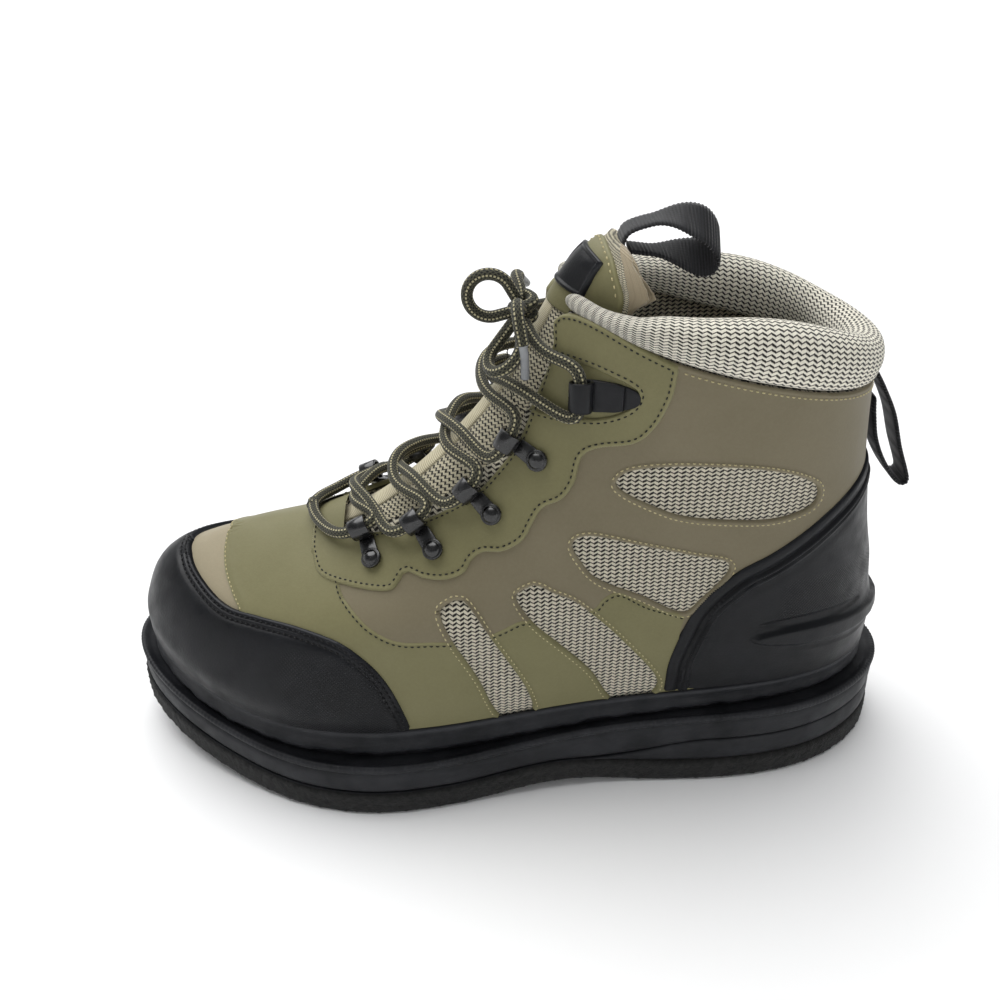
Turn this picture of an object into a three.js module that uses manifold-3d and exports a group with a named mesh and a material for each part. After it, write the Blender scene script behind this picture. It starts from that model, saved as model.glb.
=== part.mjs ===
import * as THREE from "three";
import { mergeVertices } from "three/addons/utils/BufferGeometryUtils.js";
import Module from "manifold-3d";

const wasm = await Module();
wasm.setup();

// A left wading boot with a felt sole, a leather upper, a padded mesh collar and a laced throat.
// Frame: +X runs from heel to toe, +Y to the outer side of the foot, +Z up.
// The origin is on the ground under the middle of the heel. All lengths are millimetres.

// Plan of the sole
const SOLE_LENGTH = 320;
const BALL_WIDTH = 120;
const HEEL_TO_ORIGIN = 46;
const TOE_SPRING = 15;
const ARCH_LIFT = 3;

// Layers of the sole
const FELT = 10;
const HEEL_WEDGE = 10;
const MIDSOLE_FORE = 14;
const MIDSOLE_HEEL = 24;
const LEDGE_STEP = 1.5;
const RAND_FORE = 12;
const RAND_HEEL = 9;
const RAND_WALL = 1.6;
const INSOLE = 4;
const INSOLE_DISH = 5;
const INSOLE_ROUND = 12;

// The upper and what is sewn to it
const UPPER_HEIGHT = 156;
const UPPER_WALL = 2.4;
const TOE_CAP_THICK = 2.2;
const COUNTER_THICK = 2.2;
const EYESTAY_THICK = 1.2;
const HEEL_STRIP_THICK = 1.3;
const TONGUE_WIDTH = 62;
const TONGUE_THICK = 4.5;
const TONGUE_TOP_THICK = 13;
const PATCH_THICK = 1.2;
const COLLAR_THICK = 16;
const COLLAR_ROLL = 22;

// Lacing
const LACE = 4.4;
const HOOK_WIDTH = 6.5;
const HOOK_SHEET = 1.1;
const HOOK_BORE = 6.2;
const HOOK_REACH = 12;
const RIVET = 7.2;
const RIVET_HEAD = 2;
const TAB_WIDTH = 7.5;
const TAB_REACH = 15;

// Webbing loops
const WEBBING = 1.6;
const HEEL_LOOP_WIDTH = 15;
const TONGUE_LOOP_WIDTH = 14;
const HEEL_LOOP_DROP = 47;
const TONGUE_LOOP_REACH = 36;
const BOW_REACH = 20;

// Clearance between pieces that touch
const GAP = 0.3;

// Fineness of the facets
const COLUMNS = 40;
const SOLE_STATIONS = 24;
const LEVELS = [0, 0.125, 0.1875, 0.25, 0.3125, 0.375, 0.5, 0.625, 0.75, 0.875, 1];

// Half widths of the sole at eighths of a turn from heel to toe, as shares of BALL_WIDTH
const SOLE_HALF_WIDTHS = [0.219, 0.376, 0.39, 0.42, 0.508, 0.423, 0.224];

// Centre line of the foot: share of SOLE_LENGTH from the heel, share of BALL_WIDTH outwards
const CENTRE_LINE = [
  [0, -0.008],
  [0.144, 0.012],
  [0.269, 0.037],
  [0.425, 0.054],
  [0.566, 0.067],
  [0.659, 0.058],
  [0.753, 0.017],
  [0.85, -0.033],
  [0.931, -0.058],
  [1.006, -0.083],
];

// Rings of the last, from the sole's rim (first row) to the collar seam (ninth row) and on up the tongue.
// front, back: share of SOLE_LENGTH; frontUp, backUp, sag: share of UPPER_HEIGHT above the rim;
// lean and the half widths at 30, 60, 90, 120 and 150 degrees from the toe: share of BALL_WIDTH.
const LAST_COLUMNS = ["front", "frontUp", "back", "backUp", "sag", "lean", "w30", "w60", "w90", "w120", "w150"];
const LAST_ROWS = [
  [0.972, 0, 0.031, 0, 0, 0, 0.275, 0.433, 0.358, 0.325, 0.238],
  [0.969, 0.073, 0.03, 0.058, 0.003, 0, 0.283, 0.45, 0.371, 0.333, 0.242],
  [0.938, 0.2, 0.031, 0.115, 0.01, 0, 0.242, 0.417, 0.367, 0.333, 0.242],
  [0.85, 0.325, 0.039, 0.179, 0, 0, 0.183, 0.383, 0.358, 0.325, 0.233],
  [0.738, 0.413, 0.045, 0.256, 0, 0, 0.167, 0.333, 0.342, 0.317, 0.217],
  [0.644, 0.51, 0.055, 0.346, -0.01, -0.008, 0.167, 0.312, 0.337, 0.312, 0.208],
  [0.556, 0.675, 0.064, 0.449, -0.013, -0.017, 0.167, 0.3, 0.337, 0.308, 0.206],
  [0.497, 0.835, 0.073, 0.59, -0.022, -0.027, 0.175, 0.3, 0.346, 0.317, 0.208],
  [0.459, 0.99, 0.08, 0.75, -0.032, -0.037, 0.183, 0.317, 0.362, 0.333, 0.217],
  [0.434, 1.075, 0.083, 0.83, -0.035, -0.037, 0.2, 0.33, 0.37, 0.34, 0.22],
  [0.4, 1.13, 0.087, 0.9, -0.035, -0.037, 0.217, 0.35, 0.38, 0.35, 0.225],
];
const SEAM_ROW = 8;

// Throat: share of its length from the toe end, half width as a share of BALL_WIDTH
const THROAT_START = 0.505;
const THROAT_SHAPE = [
  [0, 0.06],
  [0.02, 0.1],
  [0.06, 0.125],
  [0.15, 0.15],
  [0.32, 0.185],
  [0.48, 0.21],
  [0.66, 0.205],
  [0.82, 0.18],
  [0.955, 0.16],
  [1.3, 0.15],
];

// Side views of what is sewn on: share of SOLE_LENGTH from the heel, share of UPPER_HEIGHT above the rim
const TOE_CAP_EDGE = [
  [0.622, -0.1],
  [0.625, 0.02],
  [0.636, 0.1],
  [0.652, 0.167],
  [0.673, 0.215],
  [0.703, 0.247],
  [0.75, 0.253],
  [0.8, 0.24],
  [0.843, 0.225],
  [0.878, 0.232],
  [0.905, 0.25],
  [0.918, 0.3],
];
const COUNTER_EDGE = [
  [0.318, -0.1],
  [0.315, 0.02],
  [0.313, 0.1],
  [0.3, 0.19],
  [0.281, 0.268],
  [0.244, 0.34],
  [0.203, 0.38],
  [0.169, 0.42],
  [0.134, 0.47],
  [0.106, 0.51],
  [0.08, 0.545],
];
const EYESTAY_EDGE = [
  [0.739, 0.372],
  [0.728, 0.346],
  [0.7, 0.343],
  [0.645, 0.352],
  [0.63, 0.372],
  [0.622, 0.392],
  [0.603, 0.386],
  [0.578, 0.388],
  [0.556, 0.404],
  [0.546, 0.432],
  [0.533, 0.449],
  [0.512, 0.452],
  [0.489, 0.478],
  [0.477, 0.52],
  [0.466, 0.553],
  [0.446, 0.572],
  [0.432, 0.612],
  [0.424, 0.67],
  [0.405, 0.69],
  [0.37, 0.7],
  [0.35, 0.735],
  [0.337, 0.79],
  [0.331, 0.85],
  [0.325, 1.05],
];
const EYESTAY_FRONT = 0.74;
const WINDOW_EDGE = [
  [0.49, 0.845],
  [0.462, 0.875],
  [0.428, 0.872],
  [0.4, 0.855],
  [0.373, 0.828],
  [0.37, 0.805],
  [0.381, 0.778],
  [0.406, 0.76],
  [0.44, 0.758],
  [0.47, 0.762],
  [0.49, 0.775],
];

// Lace hooks on the outer side: level and turn of the rivet, then of the bore the lace runs through
const HOOKS = [
  { rivet: [0.498, 0.112], bore: [0.543, 0.075] },
  { rivet: [0.573, 0.129], bore: [0.612, 0.092] },
  { rivet: [0.671, 0.133], bore: [0.692, 0.1] },
  { rivet: [0.769, 0.13], bore: [0.78, 0.098] },
];
const TAB = { rivet: [0.912, 0.166], bore: [0.895, 0.133] };

// Small helpers

const clamp01 = (t) => Math.min(1, Math.max(0, t));
const smooth = (t) => clamp01(t) ** 2 * (3 - 2 * clamp01(t));
const mix = (a, b, t) => a + (b - a) * t;
const alongSole = (share) => share * SOLE_LENGTH - HEEL_TO_ORIGIN;
const range = (count) => Array.from({ length: count }, (_, i) => i);

// Smooth curve through a table whose first column is the place and second the value
function readTable(table, at) {
  const last = table.length - 2;
  let i = table.findIndex((row) => row[0] > at) - 1;
  if (i < 0) i = at < table[0][0] ? 0 : last;
  const slope = (a, b) => (b[1] - a[1]) / (b[0] - a[0]);
  const [p, q] = [table[i], table[i + 1]];
  const before = i > 0 ? slope(table[i - 1], q) : slope(p, q);
  const after = i < last ? slope(p, table[i + 2]) : slope(p, q);
  const step = q[0] - p[0];
  const t = clamp01((at - p[0]) / step);
  const t2 = t * t;
  const t3 = t2 * t;
  const curve =
    (2 * t3 - 3 * t2 + 1) * p[1] + (t3 - 2 * t2 + t) * step * before +
    (-2 * t3 + 3 * t2) * q[1] + (t3 - t2) * step * after;
  return curve;
}

// Smooth half width that is zero at both ends, through values at equal steps of angle
function roundedWidth(values, angle) {
  const steps = values.length + 1;
  let width = 0;
  for (let k = 1; k < steps; k += 1) {
    const share = values.reduce((sum, w, j) => sum + w * Math.sin((k * (j + 1) * Math.PI) / steps), 0);
    width += (2 / steps) * share * Math.sin(k * angle);
  }
  return width;
}

// Heights of the sole's layers along the foot

const springStart = alongSole(0.72);
const spring = (x) => TOE_SPRING * Math.max(0, (x - springStart) / (alongSole(1) - springStart)) ** 2;
const archShare = (x) => clamp01((x - alongSole(0.3)) / (alongSole(0.58) - alongSole(0.3)));
const feltBottom = (x) => ARCH_LIFT * Math.sin(Math.PI * archShare(x)) ** 2 + spring(x);
const feltTop = (x) => feltBottom(x) + FELT;
const wedgeShare = (x) => smooth((alongSole(0.42) - x) / (alongSole(0.42) - alongSole(0.25)));
const wedgeTop = (x) => feltTop(x) + GAP + HEEL_WEDGE * wedgeShare(x);
const heelShare = (x) => smooth((alongSole(0.61) - x) / (alongSole(0.61) - alongSole(0.2)));
const midsoleTop = (x) => FELT + mix(MIDSOLE_FORE, MIDSOLE_HEEL, heelShare(x)) + spring(x);
const ledge = (x) => midsoleTop(x) - LEDGE_STEP;
const rim = (x) => midsoleTop(x) + mix(RAND_FORE, RAND_HEEL, heelShare(x));
const centreLine = (x) => BALL_WIDTH * readTable(CENTRE_LINE, (x + HEEL_TO_ORIGIN) / SOLE_LENGTH);

// Outline of the sole, moved inwards by inset; side is 1 on the outer side, -1 on the inner
function soleEdge(angle, side, inset) {
  const at = (a) => {
    const x = alongSole((1 - Math.cos(a)) / 2);
    return new THREE.Vector2(x, centreLine(x) + side * BALL_WIDTH * roundedWidth(SOLE_HALF_WIDTHS, a));
  };
  const step = 1e-3;
  const along = at(angle + step).sub(at(angle - step)).normalize();
  return at(angle).add(new THREE.Vector2(side * along.y, -side * along.x).multiplyScalar(inset));
}

// Closed loop around the sole at one inset, with its height worked out from x
function soleLoop(inset, height) {
  const half = SOLE_STATIONS;
  return range(2 * half).map((i) => {
    const side = i <= half ? 1 : -1;
    const angle = (Math.PI * (i <= half ? i : 2 * half - i)) / half;
    const p = soleEdge(angle, side, inset);
    return new THREE.Vector3(p.x, p.y, height(p.x));
  });
}

// The last: a point of the upper's outer surface. Level 0 is the rim and 1 the collar seam;
// turn runs once round the foot from the toe by way of the outer side.

const lastRows = LAST_ROWS.map((row) => Object.fromEntries(row.map((v, i) => [LAST_COLUMNS[i], v])));

function rowPoint(row, turn) {
  const whole = 2 * Math.PI * (turn - Math.floor(turn));
  const side = whole <= Math.PI ? 1 : -1;
  const angle = side > 0 ? whole : 2 * Math.PI - whole;
  const back = (1 - Math.cos(angle)) / 2;
  const x = alongSole(mix(row.front, row.back, back));
  const halfWidth = BALL_WIDTH * roundedWidth([row.w30, row.w60, row.w90, row.w120, row.w150], angle);
  const up = mix(row.frontUp, row.backUp, back) + row.sag * Math.sin(Math.PI * back);
  return new THREE.Vector3(x, centreLine(x) + BALL_WIDTH * row.lean + side * halfWidth, rim(x) + UPPER_HEIGHT * up);
}

function lastPoint(level, turn) {
  const place = level * SEAM_ROW;
  const most = lastRows.length - 1;
  const i = Math.min(Math.max(Math.floor(place), 0), most - 1);
  const t = place - i;
  const points = [i - 1, i, i + 1, i + 2].map((k) => rowPoint(lastRows[Math.min(Math.max(k, 0), most)], turn));
  if (i === 0) points[0].copy(points[1]).multiplyScalar(2).sub(points[2]);
  const weights = [
    (-t + 2 * t * t - t ** 3) / 2,
    (2 - 5 * t * t + 3 * t ** 3) / 2,
    (t + 4 * t * t - 3 * t ** 3) / 2,
    (t ** 3 - t * t) / 2,
  ];
  return points.reduce((sum, p, k) => sum.addScaledVector(p, weights[k]), new THREE.Vector3());
}

// Outward normal of the last
function lastNormal(level, turn) {
  const step = 1e-3;
  const up = lastPoint(level + step, turn).sub(lastPoint(level - step, turn));
  const round = lastPoint(level, turn + step).sub(lastPoint(level, turn - step));
  return round.cross(up).normalize();
}

const offLast = (level, turn, distance) => lastPoint(level, turn).addScaledVector(lastNormal(level, turn), distance);

// Point of the vertical wall below the rim, at one height above the midsole's ledge
function skirtPoint(turn, distance, lift) {
  const normal = lastNormal(0, turn).setZ(0).normalize();
  const p = lastPoint(0, turn).addScaledVector(normal, distance);
  return p.setZ(ledge(p.x) + lift);
}

// Meshes from loops of points

// Indexed geometry with its faces turned outwards
function facingOut(points, faces) {
  let volume = 0;
  for (let i = 0; i < faces.length; i += 3) {
    const [a, b, c] = [points[faces[i]], points[faces[i + 1]], points[faces[i + 2]]];
    volume += a.dot(b.clone().cross(c));
  }
  if (volume < 0) faces.reverse();
  const geometry = new THREE.BufferGeometry().setFromPoints(points);
  return geometry.setIndex(faces);
}

// Ladder across a loop of points: point i is joined to its partner -i - shift
function ladder(count, shift) {
  const faces = [];
  for (let i = 0; i + 1 <= (count - shift) / 2; i += 1) {
    const [a, b] = [i, i + 1];
    const [c, d] = [(count - i - 1 - shift) % count, (count - i - shift) % count];
    if (b !== c) faces.push([a, b, c]);
    if (a !== d) faces.push([a, b === c ? b : c, d]);
  }
  return faces;
}

// Closed surface through loops of equal length. Ends: "tips" ladders a loop whose first point is a tip,
// "flat" ladders one made of two facing rows, "fan" meets at the middle, "joined" has no ends.
function loft(loops, ends) {
  const count = loops[0].length;
  const points = loops.flat();
  const faces = [];
  const rings = ends === "joined" ? loops.length : loops.length - 1;
  for (let r = 0; r < rings; r += 1) {
    const [low, high] = [r * count, ((r + 1) % loops.length) * count];
    for (let i = 0; i < count; i += 1) {
      const j = (i + 1) % count;
      faces.push(low + i, low + j, high + j, low + i, high + j, high + i);
    }
  }
  if (ends === "joined") return facingOut(points, faces);
  for (const loop of [0, loops.length - 1]) {
    const start = loop * count;
    let cap = ladder(count, ends === "tips" ? 0 : 1);
    if (ends === "fan") {
      const sum = loops[loop].reduce((total, p) => total.add(p), new THREE.Vector3());
      const middle = points.push(sum.divideScalar(count)) - 1 - start;
      cap = range(count).map((i) => [i, (i + 1) % count, middle]);
    }
    for (const [a, b, c] of cap) {
      const face = [start + a, start + b, start + c];
      faces.push(...(loop === 0 ? face.reverse() : face));
    }
  }
  return facingOut(points, faces);
}

// Cutting and joining

function toSolid(geometry) {
  const bare = new THREE.BufferGeometry();
  bare.setAttribute("position", geometry.getAttribute("position"));
  if (geometry.index) bare.setIndex(geometry.index);
  const merged = mergeVertices(bare, 1e-4);
  const vertProperties = new Float32Array(merged.attributes.position.array);
  const triVerts = new Uint32Array(merged.index.array);
  return new wasm.Manifold(new wasm.Mesh({ numProp: 3, vertProperties, triVerts }));
}

function toGeometry(solid) {
  const mesh = solid.getMesh();
  const geometry = new THREE.BufferGeometry();
  geometry.setAttribute("position", new THREE.BufferAttribute(new Float32Array(mesh.vertProperties), 3));
  return geometry.setIndex(Array.from(mesh.triVerts));
}

const union = (geometries) => geometries.map(toSolid).reduce((all, next) => all.add(next));

// Extruded outline placed by three axes and an origin; depth is counted along the third axis
function prism(outline, depth, axes, origin) {
  const shape = new THREE.Shape(outline.map(([a, b]) => new THREE.Vector2(a, b)));
  const geometry = new THREE.ExtrudeGeometry(shape, { depth, bevelEnabled: false, curveSegments: 1 });
  const place = new THREE.Matrix4().makeBasis(...axes).setPosition(origin);
  return geometry.applyMatrix4(place);
}

// A side view swept right across the boot
const sidePoint = ([share, up]) => [alongSole(share), rim(alongSole(share)) + up * UPPER_HEIGHT];
const sideAxes = [new THREE.Vector3(1, 0, 0), new THREE.Vector3(0, 0, 1), new THREE.Vector3(0, -1, 0)];
const sidePrism = (outline) =>
  toSolid(prism(outline, 4 * BALL_WIDTH, sideAxes, new THREE.Vector3(0, 2 * BALL_WIDTH, 0)));

// The sole

function soleLayer(profile) {
  return loft(profile.map(([inset, height]) => soleLoop(inset, height)), "tips");
}

// Edges of the sole's layers are rounded over this much
const EDGE_ROUND = 1.2;

function makeFelt() {
  return soleLayer([
    [EDGE_ROUND, feltBottom],
    [EDGE_ROUND / 6, (x) => feltBottom(x) + EDGE_ROUND],
    [EDGE_ROUND / 3, (x) => feltTop(x) - EDGE_ROUND],
    [EDGE_ROUND, feltTop],
  ]);
}

function makeHeelWedge() {
  const low = (x) => feltTop(x) + GAP;
  const thinnest = 0.2;
  const high = (x) => Math.max(wedgeTop(x), low(x) + thinnest);
  const slab = soleLayer([
    [1.4, low],
    [0.9, (x) => mix(low(x), high(x), 0.15)],
    [0.5, (x) => mix(low(x), high(x), 0.85)],
    [1, high],
  ]);
  const front = alongSole(0.402);
  const [back, top, bottom] = [alongSole(-0.2), FELT + 3 * HEEL_WEDGE, -FELT];
  const behind = sidePrism([[back, bottom], [front, bottom], [front, top], [back, top]]);
  return toGeometry(toSolid(slab).intersect(behind));
}

function makeMidsole() {
  const low = (x) => wedgeTop(x) + GAP;
  return soleLayer([
    [1.8, low],
    [0.9, (x) => low(x) + 1.2],
    [0.5, (x) => mix(low(x), midsoleTop(x), 0.5)],
    [0, (x) => midsoleTop(x) - 2.6],
    [0, (x) => midsoleTop(x) - 1],
    [0.9, midsoleTop],
    [2.2, midsoleTop],
    [3.6, ledge],
  ]);
}

const turns = range(COLUMNS).map((i) => i / COLUMNS);

function makeRand() {
  const [inner, outer] = [GAP, GAP + RAND_WALL];
  const top = (distance, drop) =>
    turns.map((turn) => {
      const p = skirtPoint(turn, distance, 0);
      return p.setZ(rim(p.x) - drop);
    });
  const foot = (distance) => turns.map((turn) => skirtPoint(turn, distance, GAP));
  return loft([foot(outer), top(outer, 1.2), top(outer - 0.5, 0.1), top(inner, 0.1), foot(inner)], "joined");
}

function makeInsole() {
  const edge = UPPER_WALL + GAP;
  const loop = (distance, lift) => turns.map((turn) => skirtPoint(turn, -distance, lift));
  const top = GAP + INSOLE;
  const lip = INSOLE_ROUND / 6;
  const [raised, flat] = [top + INSOLE_DISH, top];
  return loft([loop(edge, GAP), loop(edge, raised), loop(edge + lip, raised), loop(edge + INSOLE_ROUND, flat)], "tips");
}

// The upper

const throatFoot = lastPoint(THROAT_START, 0);
const throatHead = lastPoint(1, 0);
const throatLine = throatHead.clone().sub(throatFoot);
const throatLength = Math.hypot(throatLine.x, throatLine.z);

// The throat's opening as a solid that reaches through the front of the upper
function throatCutter() {
  const along = throatLine.clone().setY(0).normalize();
  const across = new THREE.Vector3(0, 1, 0);
  const inwards = along.clone().cross(across);
  const middle = (share) => mix(0, throatLine.y, clamp01(share));
  const edge = (side) =>
    THROAT_SHAPE.map(([share, half]) => [share * throatLength, middle(share) + side * half * BALL_WIDTH]);
  const outline = [...edge(1), ...edge(-1).reverse()];
  const reach = 0.3 * UPPER_HEIGHT;
  const origin = throatFoot.clone().addScaledVector(inwards, -reach);
  return toSolid(prism(outline, 1.6 * reach, [along, across, inwards], origin));
}

const throat = throatCutter();

function makeUpper() {
  const ring = (level, distance) => turns.map((turn) => offLast(level, turn, distance));
  const foot = (distance) => turns.map((turn) => skirtPoint(turn, distance, GAP));
  const shell = loft(
    [
      foot(0),
      ...LEVELS.map((level) => ring(level, 0)),
      ...[...LEVELS].reverse().map((level) => ring(level, -UPPER_WALL)),
      foot(-UPPER_WALL),
    ],
    "joined",
  );
  return toGeometry(toSolid(shell).subtract(throat));
}

// Columns that each overlay reaches over, counted from the toe, negative on the inner side
const TOE_CAP_COLUMNS = [-11, 11];
const COUNTER_COLUMNS = [12, 28];
const EYESTAY_COLUMNS = [-13, 13];
const HEEL_STRIP_COLUMNS = [19, 21];
const OVERLAY_START = 0.006;

// Part of a second skin over the upper, between two levels and two columns
function overlay([fromLevel, toLevel], [fromColumn, toColumn], thick) {
  const start = Math.max(fromLevel, OVERLAY_START);
  const levels = [start, ...LEVELS.filter((level) => level > start && level < toLevel), toLevel];
  const columns = range(toColumn - fromColumn + 1).map((i) => (fromColumn + i) / COLUMNS);
  const section = (turn) => [
    ...levels.map((level) => offLast(level, turn, GAP)),
    ...[...levels].reverse().map((level) => offLast(level, turn, GAP + thick)),
  ];
  return toSolid(loft(columns.map(section), "flat"));
}

function makeToeCap() {
  const beyond = [[1.1, 0.3], [1.1, -0.1]];
  const region = sidePrism([...TOE_CAP_EDGE, ...beyond].map(sidePoint));
  return toGeometry(overlay([0, 0.5], TOE_CAP_COLUMNS, TOE_CAP_THICK).intersect(region));
}

function makeCounter() {
  const beyond = [[-0.2, 0.56], [-0.2, -0.1]];
  const region = sidePrism([...COUNTER_EDGE, ...beyond].map(sidePoint));
  return toGeometry(overlay([0, 0.875], COUNTER_COLUMNS, COUNTER_THICK).intersect(region));
}

function makeEyestay() {
  const front = [[EYESTAY_FRONT, 1.1], [EYESTAY_FRONT, 0.395]];
  const region = sidePrism([...front, ...EYESTAY_EDGE].map(sidePoint));
  const window = sidePrism(WINDOW_EDGE.map(sidePoint));
  const skin = overlay([0.375, 1], EYESTAY_COLUMNS, EYESTAY_THICK);
  return toGeometry(skin.intersect(region).subtract(throat).subtract(window));
}

const HEEL_STRIP_LOW = 0.865;

function makeHeelStrip() {
  return toGeometry(overlay([HEEL_STRIP_LOW, 1], HEEL_STRIP_COLUMNS, HEEL_STRIP_THICK));
}

// Padded collar above the seam: height and thickness shares by place along the sole
const ROLL_HEIGHT = [
  [0.05, 0.74],
  [0.1, 0.82],
  [0.15, 0.95],
  [0.2, 1],
  [0.25, 0.93],
  [0.31, 0.7],
  [0.37, 0.46],
  [0.41, 0.31],
  [0.46, 0.2],
];
const ROLL_THICKNESS = [
  [0.05, 1],
  [0.3, 1],
  [0.38, 0.7],
  [0.46, 0.38],
];
// Section of the roll: share of thickness outwards from the upper's face, share of height above the seam
const ROLL_SECTION = [
  [0, 0.02],
  [0.17, 0.28],
  [0.2, 0.55],
  [0.08, 0.86],
  [-0.26, 1],
  [-0.6, 0.94],
  [-0.82, 0.7],
  [-0.86, 0.34],
  [-0.72, 0.03],
];
const COLLAR_START = 0.064;
const COLLAR_STATIONS = 32;

function makeCollar() {
  const section = (turn) => {
    const p = lastPoint(1, turn);
    const out = lastNormal(1, turn).setZ(0).normalize();
    const share = (p.x + HEEL_TO_ORIGIN) / SOLE_LENGTH;
    const height = COLLAR_ROLL * readTable(ROLL_HEIGHT, share);
    const thick = COLLAR_THICK * readTable(ROLL_THICKNESS, share);
    return ROLL_SECTION.map(([a, b]) =>
      p.clone().addScaledVector(out, a * thick).add(new THREE.Vector3(0, 0, 2 * GAP + b * height)),
    );
  };
  const last = COLLAR_STATIONS - 1;
  const sections = range(COLLAR_STATIONS).map((i) => section(mix(COLLAR_START, 1 - COLLAR_START, i / last)));
  return loft(sections, "fan");
}

// The tongue lies under the throat and stands up behind the collar's front ends.
// level, depth below the last at the middle and at the edges (mm), width and thickness shares
const TONGUE_COLUMNS = ["level", "middle", "edge", "width", "swell"];
const TONGUE_ROWS = [
  [0.43, 3.6, 3.6, 0.8, 0],
  [0.49, 3.6, 3.6, 0.86, 0],
  [0.54, 2.8, 3.6, 0.92, 0],
  [0.62, 1.2, 3.6, 0.96, 0],
  [0.75, 0.8, 3.6, 1, 0],
  [0.85, 0.8, 4.5, 1, 0],
  [0.93, 1.4, 7.5, 1, 0.1],
  [0.99, 2.4, 11, 1, 0.3],
  [1.03, 3, 11, 1, 0.6],
  [1.07, 3.6, 10, 0.99, 0.85],
  [1.11, 4, 9, 0.96, 1],
  [1.15, 4.4, 8, 0.88, 1],
  [1.19, 4.8, 7, 0.72, 0.9],
  [1.22, 5.4, 6.4, 0.5, 0.7],
];
const TONGUE_ACROSS = range(11).map((i) => (i - 5) / 5);
const tongueRows = TONGUE_ROWS.map((row) => Object.fromEntries(row.map((v, i) => [TONGUE_COLUMNS[i], v])));

// Turn at which the last is a given distance to one side of its own front line
function turnAcross(level, distance) {
  const middle = lastPoint(level, 0).y;
  let [low, high] = [0, 0.25];
  for (let i = 0; i < 24; i += 1) {
    const half = (low + high) / 2;
    if (lastPoint(level, half).y - middle < Math.abs(distance)) low = half;
    else high = half;
  }
  return Math.sign(distance) * low;
}

function tonguePoint(row, across, below) {
  const turn = across === 0 ? 0 : turnAcross(row.level, (across * row.width * TONGUE_WIDTH) / 2);
  const depth = mix(row.middle, row.edge, smooth(Math.abs(across) / 0.85));
  return offLast(row.level, turn, -depth - below);
}

function makeTongue() {
  const sections = tongueRows.map((row) => {
    const thick = mix(TONGUE_THICK, TONGUE_TOP_THICK, row.swell);
    const back = (across) => thick * (1 - 0.55 * across ** 4);
    return [
      ...TONGUE_ACROSS.map((across) => tonguePoint(row, across, 0)),
      ...[...TONGUE_ACROSS].reverse().map((across) => tonguePoint(row, across, back(across))),
    ];
  });
  return loft(sections, "flat");
}

// The patch is sewn off the middle, towards the outer side
const PATCH_ACROSS = [-0.3, 0.7];

function makePatch() {
  const rows = tongueRows.filter((row) => row.level > 0.98 && row.level < 1.16);
  const across = TONGUE_ACROSS.filter((a) => a > PATCH_ACROSS[0] && a < PATCH_ACROSS[1]);
  const sections = rows.map((row) => [
    ...across.map((a) => tonguePoint(row, a, -GAP)),
    ...[...across].reverse().map((a) => tonguePoint(row, a, -GAP - PATCH_THICK)),
  ]);
  return loft(sections, "flat");
}

// Lace hooks and webbing tabs

// Frame of a keeper: middle of its plate, axes towards its bore, along its bore and outwards.
// The plate's plane clears the highest place of the last under it.
function keeperFrame({ rivet, bore }, side, lift) {
  const signed = (turn) => (side > 0 ? turn : 1 - turn);
  const spot = (share, up) => lastPoint(mix(rivet[0], bore[0], share) + up, signed(mix(rivet[1], bore[1], share)));
  const out = lastNormal(mix(rivet[0], bore[0], 0.5), signed(mix(rivet[1], bore[1], 0.5)));
  const middle = spot(0.5, 0);
  const around = [-0.35, 0, 0.5, 1, 1.3].flatMap((share) => [-0.03, 0, 0.03].map((up) => spot(share, up)));
  const highest = Math.max(...around.map((p) => p.sub(middle).dot(out)));
  const reach = spot(1, 0).sub(spot(0, 0));
  const towards = reach.addScaledVector(out, -reach.dot(out)).normalize();
  const through = out.clone().cross(towards).normalize();
  const sign = Math.sign(through.dot(spot(0.5, 0.02).sub(middle)));
  middle.addScaledVector(out, highest + lift);
  return { middle, towards, through, out, sign };
}

const regular = (sides, radius, turned = 0) =>
  range(sides).map((i) => {
    const angle = ((i + turned) / sides) * 2 * Math.PI;
    return [radius * Math.cos(angle), radius * Math.sin(angle)];
  });

const BORE_SIDES = 8;

// Flat sheet rolled into a tube at one end, with a rivet head on the other where head isn't zero
function makeKeeper(frame, reach, width, head) {
  const { middle, towards, through, out } = frame;
  const centre = HOOK_BORE / 2 + HOOK_SHEET;
  const tube = (radius) =>
    regular(BORE_SIDES, radius / Math.cos(Math.PI / BORE_SIDES), -0.5).map(([a, b]) => [reach / 2 + a, centre + b]);
  const end = -(reach + head) / 2;
  const ring = tube(centre);
  const curl = [ring[BORE_SIDES - 1], ...ring.slice(0, BORE_SIDES - 2)];
  const outline = [[end, 0], ...curl, [reach / 2 - centre, HOOK_SHEET], [end, HOOK_SHEET]];
  const shape = new THREE.Shape(outline.map(([a, b]) => new THREE.Vector2(a, b)));
  shape.holes.push(new THREE.Path(tube(HOOK_BORE / 2).map(([a, b]) => new THREE.Vector2(a, b))));
  const sheet = new THREE.ExtrudeGeometry(shape, { depth: width, bevelEnabled: false, curveSegments: 1 });
  const across = through.clone().multiplyScalar(-1);
  const corner = middle.clone().addScaledVector(across, -width / 2);
  sheet.applyMatrix4(new THREE.Matrix4().makeBasis(towards, out, across).setPosition(corner));
  if (head === 0) return sheet;
  const stud = middle.clone().addScaledVector(towards, -reach / 2).addScaledVector(out, HOOK_SHEET / 2);
  const rivet = prism(regular(8, head / 2, 0.5), RIVET_HEAD, [towards, through, out], stud);
  return toGeometry(union([sheet, rivet]));
}

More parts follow.
